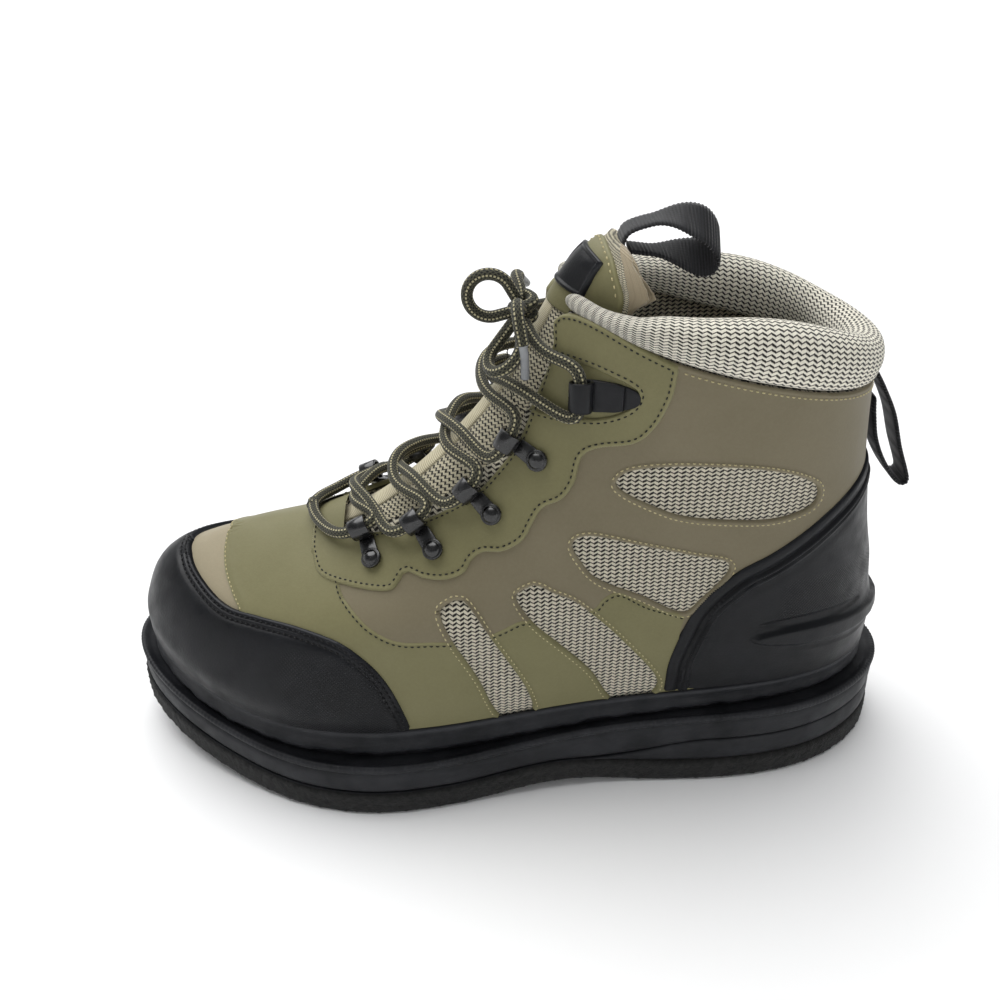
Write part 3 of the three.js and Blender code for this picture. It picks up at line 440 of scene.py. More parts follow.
class Look:
    """A material with short calls for its nodes"""

    def __init__(self, name, color, roughness, **fixed):
        self.material = bpy.data.materials.new(name)
        self.material.use_nodes = True
        self.tree = self.material.node_tree
        self.shader = self.tree.nodes["Principled BSDF"]
        self.material.diffuse_color = color
        self.shader.inputs["Base Color"].default_value = color
        self.shader.inputs["Roughness"].default_value = roughness
        for key, value in fixed.items():
            self.shader.inputs[key.replace("_", " ")].default_value = value
        self.place = self.node("TexCoord").outputs["Object"]
        self.height = None

    def node(self, kind, *values, **settings):
        made = self.tree.nodes.new("ShaderNode" + kind)
        for key, value in settings.items():
            setattr(made, key, value)
        for socket, value in zip(made.inputs, values):
            if isinstance(value, bpy.types.NodeSocket):
                self.tree.links.new(value, socket)
            elif value is not None:
                socket.default_value = value
        return made

    def math(self, operation, *values):
        return self.node("Math", *values, operation=operation).outputs[0]

    def times(self, a, b):
        return self.math("MULTIPLY", a, b)

    def plus(self, a, b):
        return self.math("ADD", a, b)

    def over(self, a, b):
        return self.math("DIVIDE", a, b)

    def folded(self, value):
        return self.math("PINGPONG", value, 0.5)

    def grain(self, scale, millimetres, strength):
        cells = self.node("TexVoronoi", self.place, None, scale, feature="F1").outputs["Distance"]
        self.bump(cells, millimetres, strength)

    def noise(self, scale, detail=2, roughness=0.5, place=None):
        return self.node("TexNoise", place or self.place, None, scale, detail, roughness).outputs[0]

    def ramp(self, value, low, high, start=0.0, end=1.0):
        return self.node("MapRange", value, low, high, start, end).outputs[0]

    def blend(self, share, a, b, kind="MIX"):
        made = self.node("Mix", data_type="RGBA", blend_type=kind)
        for socket, value in zip((made.inputs[0], made.inputs[6], made.inputs[7]), (share, a, b)):
            if isinstance(value, bpy.types.NodeSocket):
                self.tree.links.new(value, socket)
            else:
                socket.default_value = value
        return made.outputs[2]

    def uv(self):
        parts = self.node("SeparateXYZ", self.node("UVMap", uv_map="UVMap").outputs[0])
        return parts.outputs[0], parts.outputs[1]

    def attribute(self, name):
        return self.node("Attribute", attribute_name=name).outputs["Fac"]

    def color(self, value):
        self.tree.links.new(value, self.shader.inputs["Base Color"])

    def rough(self, value):
        self.tree.links.new(value, self.shader.inputs["Roughness"])

    def bump(self, height, millimetres, strength=1.0):
        made = self.node("Bump", strength, millimetres * MM, None, height)
        if self.height is not None:
            self.tree.links.new(self.height, made.inputs["Normal"])
        self.height = made.outputs[0]
        self.tree.links.new(self.height, self.shader.inputs["Normal"])


def make_leather(name, base, worn, dark):
    """Matt coated microfibre: soft mottling, fine grain, paler rubbed edges"""
    look = Look(name, base, 0.62, Specular_IOR_Level=0.35, Sheen_Weight=0.12, Sheen_Roughness=0.5)
    cloudy = look.noise(28, 3, 0.6)
    fine = look.noise(900, 2, 0.6)
    color = look.blend(look.ramp(cloudy, 0.3, 0.7, 0, 0.45), base, dark)
    color = look.blend(look.ramp(fine, 0.35, 0.75, 0, 0.16), color, worn)
    color = look.blend(look.ramp(look.attribute("wear"), 0.15, 1, 0, 0.55), color, worn)
    look.color(color)
    look.rough(look.ramp(cloudy, 0.2, 0.8, 0.55, 0.72))
    look.grain(1500, 0.05, 0.5)
    look.bump(look.noise(140, 3), 0.12, 0.35)
    return look.material


def make_rubber(name, base, worn, roughness, dots=0.0):
    """Moulded rubber: fine pebble, dusty highlights on worn edges"""
    look = Look(name, base, roughness, Specular_IOR_Level=0.22)
    cloudy = look.noise(45, 4, 0.65)
    color = look.blend(look.ramp(cloudy, 0.35, 0.75, 0, 0.5), base, worn)
    color = look.blend(look.ramp(look.attribute("wear"), 0.2, 1, 0, 0.5), color, worn)
    look.color(color)
    look.rough(look.ramp(look.noise(120, 3), 0.3, 0.7, roughness - 0.08, roughness + 0.12))
    look.grain(1100, 0.06, 0.6)
    if dots:
        u, v = look.uv()
        wave = look.times(look.math("SINE", look.times(u, 4.2)), look.math("SINE", look.times(v, 4.2)))
        raised = look.times(look.ramp(wave, 0.1, 0.6), look.attribute("dots"))
        look.bump(raised, dots, 0.9)
    return look.material


def make_knit(name, pale, dark, step, row, rise, gap):
    """Warp knit with zig-zag rows of pale yarn over a dark ground, and painted stitch shading that leaves one
    slant of each zig-zag paler than the other
    """
    look = Look(name, pale, 0.85, Specular_IOR_Level=0.2, Sheen_Weight=0.2, Sheen_Roughness=0.6)
    u, v = look.uv()
    u = look.plus(u, look.times(look.math("SUBTRACT", look.noise(260, 2), 0.5), 0.5))
    v = look.plus(v, look.times(look.math("SUBTRACT", look.noise(420, 2), 0.5), 0.55))
    shifted = look.plus(v, look.times(look.folded(look.over(u, step)), 4 * rise))
    band = look.folded(look.over(shifted, row))
    # Painted light and shade: the dark gaps are narrower on the falling slants, so those stitches read as lit
    # and the rising slants as shaded
    lit_slant = look.math("GREATER_THAN", look.math("FRACT", look.over(u, step)), 0.5)
    thin = look.times(lit_slant, gap * 0.3)
    yarn = look.ramp(look.plus(band, thin), gap * 0.42, gap * 0.74)
    ply = look.folded(look.plus(look.times(u, 1.7), look.times(v, 2.6)))
    shade = look.blend(look.ramp(look.noise(500, 2), 0.3, 0.7, 0, 0.35), pale, dimmed(pale, 0.62))
    shade = look.blend(look.ramp(ply, 0.0, 0.22, 0.45, 0), shade, dark)
    look.color(look.blend(yarn, dark, shade))
    look.bump(look.plus(yarn, look.times(ply, 0.6)), 0.35, 0.9)
    return look.material


def make_woven(name, pale, dark, warp, weft):
    """Flat woven ribbon or lining"""
    look = Look(name, pale, 0.7, Specular_IOR_Level=0.3, Sheen_Weight=0.25, Sheen_Roughness=0.4)
    u, v = look.uv()
    ribs = look.folded(look.over(v, weft))
    threads = look.folded(look.over(u, warp))
    color = look.blend(look.ramp(ribs, 0, 0.35), dark, pale)
    look.color(look.blend(look.ramp(threads, 0, 0.12, 0.4, 0), color, dark))
    look.bump(ribs, 0.3, 0.8)
    look.bump(threads, 0.12, 0.6)
    return look.material


def make_lace_look():
    """Braided cord: dark plaits with pale beaded tracers"""
    look = Look("lace_braid", srgb(50, 49, 38), 0.75, Specular_IOR_Level=0.3, Sheen_Weight=0.12)
    u, v = look.uv()
    turn, climb = look.times(u, 10), look.over(v, 1.7)
    left, right = look.folded(look.plus(turn, climb)), look.folded(look.math("SUBTRACT", turn, climb))
    plait = look.math("MAXIMUM", left, right)
    shade = look.blend(look.ramp(plait, 0.25, 0.5), srgb(18, 18, 14), srgb(74, 73, 56))
    tracer = look.folded(look.times(u, 5))
    bead = look.folded(look.over(v, 1.35))
    shown = look.times(look.ramp(tracer, 0.14, 0.09), look.ramp(bead, 0.16, 0.27))
    look.color(look.blend(shown, shade, srgb(176, 168, 134)))
    look.bump(look.plus(plait, look.times(shown, 0.5)), 0.4, 0.9)
    look.bump(look.noise(1500, 2), 0.08, 0.5)
    return look.material


def make_thread(name, color):
    look = Look(name, color, 0.6, Specular_IOR_Level=0.35)
    twist = look.node("TexWave", look.place, 1400, 1.0, 1).outputs["Fac"]
    look.color(look.blend(look.ramp(twist, 0.2, 0.8, 0, 0.45), color, dimmed(color, 0.5)))
    look.bump(twist, 0.08, 0.6)
    return look.material


def make_felt_look():
    look = Look("felt_pile", srgb(15, 15, 15), 0.98, Specular_IOR_Level=0.08, Sheen_Weight=0.1,
                Sheen_Roughness=0.7)
    tufts = look.noise(420, 5, 0.7)
    look.color(look.blend(look.ramp(tufts, 0.35, 0.7), srgb(7, 7, 7), srgb(34, 34, 33)))
    look.bump(tufts, 0.8, 1.0)
    look.bump(look.noise(1500, 3, 0.7), 0.3, 0.8)
    return look.material


def make_metal_look():
    look = Look("enamelled_metal", srgb(7, 7, 8), 0.22, Metallic=0.1, Specular_IOR_Level=0.5,
                Coat_Weight=0.35, Coat_Roughness=0.12)
    scuff = look.noise(260, 4, 0.7)
    look.color(look.blend(look.ramp(scuff, 0.55, 0.8, 0, 0.5), srgb(7, 7, 8), srgb(34, 34, 37)))
    look.rough(look.ramp(scuff, 0.3, 0.75, 0.16, 0.42))
    return look.material


OLIVE = make_leather("olive_microfibre", srgb(109, 105, 71), srgb(127, 123, 86), srgb(97, 94, 62))
TAUPE = make_leather("taupe_microfibre", srgb(108, 100, 78), srgb(125, 117, 94), srgb(97, 90, 69))
TAN = make_leather("tan_microfibre", srgb(142, 132, 108), srgb(160, 150, 124), srgb(128, 119, 97))
BUMPER = make_rubber("bumper_rubber", srgb(8, 9, 12), srgb(22, 24, 29), 0.4, 0.35)
SOLE_RUBBER = make_rubber("sole_rubber", srgb(20, 21, 24), srgb(58, 59, 63), 0.5)
KNIT = make_knit("zigzag_knit", srgb(218, 211, 190), srgb(22, 18, 12), 2.7, 1.6, 0.4, 0.5)
COLLAR_KNIT = make_knit("collar_zigzag_knit", srgb(250, 245, 228), srgb(24, 19, 12), 3.1, 1.85, 0.46, 0.43)
TONGUE_KNIT = make_knit("tongue_knit", srgb(224, 215, 186), srgb(34, 32, 26), 1.7, 1.15, 0.26, 0.44)
LINING = make_woven("satin_lining", srgb(166, 153, 128), srgb(122, 110, 88), 0.7, 0.7)
TAPE = make_woven("woven_tape", srgb(206, 198, 170), srgb(150, 141, 112), 0.6, 0.45)
STRAP = make_woven("webbing", srgb(34, 34, 37), srgb(12, 12, 13), 1.3, 1.2)
INSOLE = make_woven("insole_cloth", srgb(70, 66, 60), srgb(40, 38, 34), 1.2, 1.2)
AGLET = make_rubber("clear_tip", srgb(120, 122, 124), srgb(190, 192, 194), 0.25)
FELT_LOOK = make_felt_look()
PATCH = make_rubber("patch_rubber", srgb(9, 10, 12), srgb(34, 35, 39), 0.34)
METAL = make_metal_look()
LACE_LOOK = make_lace_look()
PALE_THREAD = make_thread("pale_thread", srgb(196, 184, 140))
DARK_THREAD = make_thread("dark_thread", srgb(28, 28, 24))
BLACK_THREAD = make_thread("black_thread", srgb(16, 16, 18))

# Meshes


def piece(name, points, faces, material, slot, uv=None, **shares):
    """A mesh from millimetre points that rides on the boot, with point attributes from shares"""
    mesh = bpy.data.meshes.new(name)
    points = np.asarray(points, float)
    mesh.from_pydata((points * MM).tolist(), [], [tuple(int(i) for i in f) for f in faces])
    mesh.polygons.foreach_set("use_smooth", np.full(len(mesh.polygons), True))
    if uv is not None:
        layer = mesh.uv_layers.new(name="UVMap")
        corner = np.empty(len(mesh.loops), int)
        mesh.loops.foreach_get("vertex_index", corner)
        layer.data.foreach_set("uv", np.asarray(uv, float)[corner].ravel())
    for key, values in shares.items():
        mesh.attributes.new(key, "FLOAT", "POINT").data.foreach_set("value", np.asarray(values, float))
    mesh.materials.append(material)
    mesh.update()
    made = bpy.data.objects.new(name, mesh)
    bpy.context.scene.collection.objects.link(made)
    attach(made, "root")
    return made


def grid_faces(rows, columns, wrap_rows=False, wrap_columns=False):
    r = np.arange(rows if wrap_rows else rows - 1)
    c = np.arange(columns if wrap_columns else columns - 1)
    r, c = (a.ravel() for a in np.meshgrid(r, c, indexing="ij"))
    r2, c2 = (r + 1) % rows, (c + 1) % columns
    return np.stack([r * columns + c, r * columns + c2, r2 * columns + c2, r2 * columns + c], 1)


def turned_out(points, faces):
    """Faces in the order that makes a closed mesh face outwards"""
    p = np.asarray(points)
    corners = [(f[0], f[k], f[k + 1]) for f in faces for k in range(1, len(f) - 1)]
    volume = sum(float(np.dot(p[a], np.cross(p[b], p[c]))) for a, b, c in corners)
    return [list(f)[::-1] for f in faces] if volume < 0 else [list(f) for f in faces]


def loft_faces(rows, around):
    """Faces of rings one after another, closed at both ends"""
    faces = grid_faces(rows, around, wrap_columns=True).tolist()
    return faces + [list(range(around))[::-1], list(range((rows - 1) * around, rows * around))]


def strip_loft_faces(rows, around):
    """The same for long rings, whose ends are closed by strips from side to side"""
    faces = grid_faces(rows, around, wrap_columns=True).tolist()
    for start in (0, (rows - 1) * around):
        for i in range(around // 2):
            places = (i, i + 1, (around - i - 1) % around, (around - i) % around)
            ring = [start + k for k in dict.fromkeys(places)]
            if len(ring) > 2:
                faces.append(ring if start else ring[::-1])
    return faces


def filled(points, loops, within):
    """Flat points and the triangles between them whose middles lie within the loops"""
    found = geometry.delaunay_2d_cdt([Vector(p) for p in points.tolist()], loops, [], 1, 1e-4)
    flat = np.array([tuple(p) for p in found[0]])
    faces = np.array([f for f in found[2] if len(f) == 3])
    return flat, faces[within(flat[faces].mean(1))]


def normals_of(points, faces):
    a, b, c = (points[faces[:, k]] for k in range(3))
    return np.cross(b - a, c - a)


def join(parts):
    """One set of points, faces and texture places from several"""
    points, faces, uvs, start = [], [], [], 0
    for p, f, u in parts:
        points.append(p)
        uvs.append(u)
        faces += [[i + start for i in face] for face in f]
        start += len(p)
    return np.vstack(points), faces, np.vstack(uvs)


def tube(line, radius, sides=14):
    """Round cord along a line: points, faces and texture places (share round, mm along)"""
    n = len(line)
    run = unit(np.gradient(line, axis=0))
    side = unit(np.cross(run[0], [0.31, 0.17, 0.93]))
    rings, far = [], 0.0
    uv = []
    angles = np.linspace(0, 2 * np.pi, sides + 1)
    for i in range(n):
        side = unit(side - run[i] * np.dot(side, run[i]))
        other = np.cross(run[i], side)
        if i:
            far += float(np.linalg.norm(line[i] - line[i - 1]))
        ring = np.cos(angles)[:, None] * side + np.sin(angles)[:, None] * other
        rings.append(line[i] + radius * ring)
        uv.append(np.stack([angles / (2 * np.pi), np.full(sides + 1, far)], 1))
    points = np.vstack(rings)
    faces = grid_faces(n, sides + 1).tolist()
    faces += [list(range(sides, -1, -1)), list(range((n - 1) * (sides + 1), n * (sides + 1)))]
    return points, turned_out(points, faces), np.vstack(uv)


def inside(points, outline):
    """Which flat points lie inside a closed outline"""
    x, y = points[:, 0][:, None], points[:, 1][:, None]
    a, b = outline, np.roll(outline, -1, axis=0)
    crosses = (a[:, 1] > y) != (b[:, 1] > y)
    rise = np.where(b[:, 1] == a[:, 1], 1e-12, b[:, 1] - a[:, 1])
    return (crosses & (x < (b[:, 0] - a[:, 0]) * (y - a[:, 1]) / rise + a[:, 0])).sum(1) % 2 == 1


# Millimetres that one turn and one level come to, near enough to lay meshes out flat
FLAT = np.array([560.0, 165.0])
EDGE_STEP = 0.9
HUB_HEIGHT = 45.0
WELD = 0.02


def closed_line(loop):
    return np.vstack([loop, loop[:1]])


def on_last(line):
    return last_point(line[:, 1], line[:, 0])


def spaced(line, step):
    """A (turn, level) line resampled to a step in millimetres"""
    line = np.asarray(line, float)
    spans = [np.linspace(a, b, 9)[:-1] for a, b in zip(line, line[1:])]
    spread = np.concatenate(spans + [line[-1:]])
    p = on_last(spread)
    far = along_line(p)
    at = np.linspace(0, far[-1], max(int(far[-1] / step) + 1, 4))
    return np.stack([np.interp(at, far, spread[:, k]) for k in (0, 1)], 1)


def moved(line, distance):
    """A (turn, level) line moved sideways on the last by millimetres, to its left"""
    round_, up, normal = last_frame(line[:, 1], line[:, 0])
    p = on_last(line)
    aside = np.cross(normal, unit(np.gradient(p, axis=0))) * distance
    g11, g12, g22 = (round_ * round_).sum(1), (round_ * up).sum(1), (up * up).sum(1)
    a, b = (aside * round_).sum(1), (aside * up).sum(1)
    scale = np.maximum(g11 * g22 - g12 * g12, 1e-9)
    return line + np.stack([(g22 * a - g12 * b) / scale, (g11 * b - g12 * a) / scale], 1)


def distance_to(points, lines):
    """Distance from places in space to the nearest of some lines"""
    starts = np.vstack([line[:-1] for line in lines])
    ends = np.vstack([line[1:] for line in lines])
    tree = kdtree.KDTree(len(starts))
    for i, p in enumerate((starts + ends) / 2):
        tree.insert(p, i)
    tree.balance()
    near = np.array([[hit[1] for hit in tree.find_n(p, 4)] for p in points])
    a, b = starts[near], ends[near]
    run = b - a
    t = np.clip(((points[:, None] - a) * run).sum(-1) / np.maximum((run * run).sum(-1), 1e-9), 0, 1)
    return np.linalg.norm(points[:, None] - a - run * t[..., None], axis=-1).min(1)


def skin(name, outline, edges, profile, material, slot, holes=(), cell=2.8, extra=None):
    """Sheet on both sides of the last in a (turn, level) outline, its height by distance from real edges"""
    outline = spaced(closed_line(outline), EDGE_STEP)[:-1]
    holes = [spaced(closed_line(hole), EDGE_STEP)[:-1] for hole in holes]
    edges = [spaced(edge, EDGE_STEP) for edge in edges]
    edges_3d = [on_last(edge) for edge in edges]
    flat_outline, flat_holes = outline * FLAT, [hole * FLAT for hole in holes]

    def within(flat):
        keep = inside(flat, flat_outline)
        for hole in flat_holes:
            keep &= ~inside(flat, hole)
        return keep

    picked = []
    for edge in edges:
        for distance, _ in profile[1:]:
            for side in (1, -1):
                ring = moved(edge, side * distance)
                near = within(ring * FLAT)
                ring = ring[near]
                if len(ring):
                    gap = distance_to(on_last(ring), edges_3d)
                    picked.append(ring[gap > 0.93 * distance])
    low, high = flat_outline.min(0), flat_outline.max(0)
    a, b = np.meshgrid(np.arange(low[0], high[0], cell), np.arange(low[1], high[1], cell))
    a = a + 0.5 * cell * (np.arange(len(a)) % 2)[:, None]
    inner = np.stack([a.ravel(), b.ravel()], 1)
    inner = inner[within(inner)] / FLAT
    gap = distance_to(on_last(inner), edges_3d)
    picked.append(inner[gap > profile[-1][0] + 0.4 * cell])
    loose = np.vstack(picked) * FLAT
    loops, points, start = [], [], 0
    for loop in [flat_outline, *flat_holes]:
        loops += [(start + i, start + (i + 1) % len(loop)) for i in range(len(loop))]
        points.append(loop)
        start += len(loop)
    flat, faces = filled(np.vstack(points + [loose]), loops, within)
    place = flat / FLAT
    surface = on_last(place)
    gap = distance_to(surface, edges_3d)
    height = np.interp(gap, *zip(*profile))
    if extra is not None:
        height = height + extra(surface)
    points, uv = [], []
    used = np.unique(faces)
    renumber = np.full(len(flat), -1)
    renumber[used] = np.arange(len(used))
    faces = renumber[faces]
    place, height, gap = place[used], height[used], gap[used]
    wear = np.exp(-((gap - 0.7) / 0.8) ** 2)
    all_faces, all_wear = [], []
    for side in (1, -1):
        p = off_last(place[:, 1], side * place[:, 0], height)
        start = sum(len(q) for q in points)
        points.append(p)
        uv.append(p[:, [0, 2]])
        ordered = faces if side > 0 else faces[:, ::-1]
        all_faces.append(ordered + start)
        all_wear.append(wear)
    points, all_faces = np.vstack(points), np.vstack(all_faces)
    middle = points[all_faces].mean(1)
    hub = np.stack([middle[:, 0], centre_line(middle[:, 0]), np.full(len(middle), HUB_HEIGHT)], 1)
    if ((middle - hub) * normals_of(points, all_faces)).sum() < 0:
        all_faces = all_faces[:, ::-1]
    made = piece(name, points, all_faces, material, slot, np.vstack(uv), wear=np.concatenate(all_wear),
                 dots=dots_share(points))
    weld(made)
    return made


def dots_share(points):
    """Where the moulded dot pattern shows on the bumper and the counter"""
    x, _, z = points.T
    fore = smooth((x - 158) / 10) * smooth((206 - x) / 16) * smooth((72 - z) / 8)
    aft = smooth((14 - x) / 8) * smooth((z - 72) / 3) * smooth((92 - z) / 8)
    return np.maximum(fore, aft)


def weld(made):
    work = bmesh.new()
    work.from_mesh(made.data)
    bmesh.ops.remove_doubles(work, verts=work.verts, dist=WELD * MM)
    work.to_mesh(made.data)
    work.free()


STITCH_SHARE = 0.62
STITCH_HEIGHT = np.array([-0.42, -0.05, 0.12, 0.12, -0.05, -0.42])
STITCH_WIDTH = np.array([0.14, 0.3, 0.34, 0.34, 0.3, 0.14])


def stitch_row(line, normals, pitch, size):
    """Raised stitches along a line in space"""
    total = length_of(line)
    count = max(int(total / pitch), 1)
    far = along_line(line)
    middles = (np.arange(count) + 0.5) * total / count
    at = lambda s, rows: np.stack([np.interp(s, far, rows[:, k]) for k in range(3)], 1)
    steps = np.linspace(-0.5, 0.5, 6) * STITCH_SHARE * pitch
    parts = []
    angles = np.arange(6) / 6 * 2 * np.pi
    for middle in middles:
        s = np.clip(middle + steps, 0, total)
        p, up = at(s, line), unit(at(s, normals))
        run = unit(np.gradient(p, axis=0))
        side = unit(np.cross(run, up))
        up = np.cross(side, run)
        centre = p + up * (STITCH_HEIGHT * size)[:, None]
        ring = np.cos(angles)[:, None] * side[:, None] + np.sin(angles)[:, None] * up[:, None]
        points = centre[:, None] + ring * (STITCH_WIDTH * size)[:, None, None]
        faces = grid_faces(6, 6, wrap_columns=True).tolist() + [[5, 4, 3, 2, 1, 0], [30, 31, 32, 33, 34, 35]]
        parts.append((points.reshape(-1, 3), faces, np.zeros((36, 2))))
    return parts


def stitches_on_last(line, height, **options):
    parts = []
    for side in (1, -1):
        turn, level = (line * [side, 1]).T
        parts += stitch_row(off_last(level, turn, height), last_frame(level, turn)[2], **options)
    return parts


def beside(edge, distance, keep=None):
    """A line beside a real edge, without the places where it would run too near that edge"""
    edge = spaced(edge, 0.8)
    ring = moved(edge, distance)
    gap = distance_to(on_last(ring), [on_last(edge)])
    ring = ring[gap > 0.9 * abs(distance)]
    return ring if keep is None else ring[keep(ring)]


def stitched(name, parts, material, slot):
    points, faces, uv = join(parts)
    return piece(name, points, faces, material, slot, uv)


# Camera and light

camera = bpy.data.objects.new("camera", bpy.data.cameras.new("camera"))
camera.data.sensor_width = 36
camera.data.lens = 36.43
camera.data.clip_start = 0.01
camera.location = (0.127, 0.352, 0.307)
camera.rotation_euler = (math.radians(60), 0, math.radians(-181.5))
bpy.context.scene.collection.objects.link(camera)
bpy.context.scene.camera = camera


def light(name, kind, energy, place, target=(0, 0, 0)):
    made = bpy.data.objects.new(name, bpy.data.lights.new(name, kind))
    made.data.energy = energy
    made.location = place
    made.rotation_euler = (Vector(place) - Vector(target)).to_track_quat("Z", "Y").to_euler()
    bpy.context.scene.collection.objects.link(made)
    return made.data


fill = light("front_fill", "AREA", 0.4, (0.5, 1.1, 0.9), (0.11, 0, 0.08))
fill.shape = "DISK"
fill.size = 1.4
light("overhead", "SUN", 3.9, (0.25, -0.4, 1)).angle = 1.15
world = bpy.data.worlds.new("studio")
world.use_nodes = True
background = world.node_tree.nodes["Background"].inputs
background[0].default_value = (0.96, 0.98, 1, 1)
background[1].default_value = 0.26
bpy.context.scene.world = world
bpy.context.scene.view_settings.view_transform = "Standard"

floor_look = Look("pale_floor", (0.8, 0.8, 0.8, 1), 0.6, Specular_IOR_Level=0.1)
clouds = floor_look.ramp(floor_look.noise(3), 0.3, 0.7, 0, 0.1)
floor_look.color(floor_look.blend(clouds, (0.86, 0.86, 0.86, 1), (0.82, 0.82, 0.83, 1)))
floor_mesh = bpy.data.meshes.new("floor")
COVE_SIDES = 48
cove = [(0.5, 0), (4, 0), (5.5, 0.12), (6.8, 0.6), (7.7, 1.5), (8.3, 2.9)]
cove_turns = np.arange(COVE_SIDES) / COVE_SIDES * 2 * np.pi
cove_points = [(far * math.cos(a), far * math.sin(a), up) for far, up in cove for a in cove_turns]
cove_faces = grid_faces(len(cove), COVE_SIDES, wrap_columns=True)[:, ::-1].tolist()
floor_mesh.from_pydata(cove_points, [], [list(range(COVE_SIDES))] + cove_faces)
floor_mesh.shade_smooth()
floor_mesh.materials.append(floor_look.material)
floor = bpy.data.objects.new("floor", floor_mesh)
bpy.context.scene.collection.objects.link(floor)

# Lace keepers and laces


def keeper_frame(keeper, side, lift):
    rivet, bore = (np.array(spot) for spot in keeper)

    def spot(share, up):
        return last_point(mix(rivet[0], bore[0], share) + up, side * mix(rivet[1], bore[1], share))

    middle_level, middle_turn = mix(rivet, bore, 0.5)
    out = last_frame(np.array(middle_level), np.array(side * middle_turn))[2]
    middle = spot(0.5, 0)
    tried = [(share, up) for share in (-0.35, 0, 0.5, 1, 1.3) for up in (-0.03, 0, 0.03)]
    highest = max(np.dot(spot(share, up) - middle, out) for share, up in tried)
    reach = spot(1, 0) - spot(0, 0)
    towards = unit(reach - out * np.dot(reach, out))
    through = unit(np.cross(out, towards))
    sign = np.sign(np.dot(through, spot(0.5, 0.02) - middle))
    return middle + out * (highest + lift), towards, through, out, sign


HOOK_LIFT = EYESTAY_THICK + 5 * GAP
TAB_LIFT = 2 * GAP
BORE_UP = HOOK_BORE / 2 + HOOK_SHEET
THROUGH = 9.5
KNOT_RADIUS = 3.4
KNOT_TURNS = 1.75
CORD_STEP = 0.7
TIP_LENGTH = 12.0


def seat_of(keeper):
    """How high a hook or tab sits over the last, and how long it is"""
    return (TAB_LIFT, TAB_REACH) if keeper is TAB else (HOOK_LIFT, HOOK_REACH)


def through_bore(keeper, side, lift, reach, first):
    middle, towards, through, out, sign = keeper_frame(keeper, side, lift)
    centre = middle + towards * reach / 2 + out * BORE_UP
    return [centre + through * share * THROUGH * sign for share in (-first, -0.5, 0.5, 1)]


def lace_path(side, lift):
    stops = [(keeper, side if i % 2 == 0 else -side) for i, keeper in enumerate([*HOOKS, TAB])]
    bar = (HOOKS[0][1][0] - 0.045, side * HOOKS[0][1][1])
    line = [off_last(bar[0], share * bar[1], 5.0) for share in (-0.1, 0.3, 0.75)]
    for i, (keeper, hand) in enumerate(stops):
        if i:
            before, hand_before = stops[i - 1]
            for share, height in ((0.28, 6.4), (0.5, lift), (0.72, 6.4)):
                level = mix(before[1][0], keeper[1][0], 0.5 + (share - 0.5) * 0.75)
                turn = mix(hand_before * before[1][1], hand * keeper[1][1], share)
                line.append(off_last(level, turn, height))
        line += through_bore(keeper, hand, *seat_of(keeper), 1 if i else 0.75)
    line.append(off_last(TAB[1][0] + 0.03, side * 0.6 * TAB[1][1], 6.4))
    line.append(knot_middle + [-0.5, side * (KNOT_RADIUS + LACE / 2 + GAP), -3.1 if side > 0 else -0.6])
    return line


def turn_across(level, distance):
    """Turn at which the last is a distance to one side of its front line"""
    level, distance = np.broadcast_arrays(np.asarray(level, float), np.asarray(distance, float))
    middle = last_point(level, np.zeros_like(level))[..., 1]
    nearer = lambda turn: last_point(level, turn)[..., 1] - middle < np.abs(distance)
    return np.sign(distance) * halved(np.zeros_like(level), np.full_like(level, 0.25), nearer)


knot_middle = off_last(0.955, turn_across(0.955, 5.0), 6.3)


def rounded(points, steps_each=10):
    """Centripetal curve through points, as the CAD's cords"""
    p = np.asarray(points, float)
    wide = np.vstack([2 * p[0] - p[1], p, 2 * p[-1] - p[-2]])
    found = []
    for i in range(1, len(wide) - 2):
        a, b, c, d = wide[i - 1 : i + 3]
        k = np.sqrt([np.linalg.norm(b - a), np.linalg.norm(c - b), np.linalg.norm(d - c)])
        t0, t1, t2, t3 = np.concatenate([[0], np.cumsum(np.maximum(k, 1e-6))])
        t = np.linspace(t1, t2, steps_each, endpoint=False)[:, None]
        ab = (t1 - t) / (t1 - t0) * a + (t - t0) / (t1 - t0) * b
        bc = (t2 - t) / (t2 - t1) * b + (t - t1) / (t2 - t1) * c
        cd = (t3 - t) / (t3 - t2) * c + (t - t2) / (t3 - t2) * d
        abc = (t2 - t) / (t2 - t0) * ab + (t - t0) / (t2 - t0) * bc
        bcd = (t3 - t) / (t3 - t1) * bc + (t - t1) / (t3 - t1) * cd
        found.append((t2 - t) / (t2 - t1) * abc + (t - t1) / (t2 - t1) * bcd)
    return np.vstack(found + [p[-1:]])


def cord_piece(name, line, node, sheathed=0.0):
    """Cord along a line, whose last millimetres may be sheathed in a slimmer clear tip"""
    line = even(line, max(int(length_of(line) / CORD_STEP), 12))
    points, faces, uv = tube(line, LACE / 2)
    near = np.linalg.norm(points[:, None] - line[None], axis=-1).argmin(1)
    left = (len(line) - 1 - near) * CORD_STEP
    if sheathed:
        slim = 1 - 0.3 * smooth((sheathed - left) / 0.8)
        points = line[near] + (points - line[near]) * slim[:, None]
    made = piece(name, points, faces, LACE_LOOK, "lace", uv)
    if sheathed:
        made.data.materials.append(AGLET)
        for polygon in made.data.polygons:
            if max(left[v] for v in polygon.vertices) < sheathed:
                polygon.material_index = 1
    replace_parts(made, node)
    return made, line


def eased(line, held=None, passes=70):
    """The line with its corners relaxed, except close to the held points"""
    free = 1.0
    if held is not None:
        free = smooth((np.linalg.norm(line[:, None] - held[None], axis=-1).min(1) - 1.8) / 3.5)[1:-1, None]
    line = line.copy()
    for _ in range(passes):
        line[1:-1] += free * 0.5 * ((line[:-2] + line[2:]) / 2 - line[1:-1])
    return line


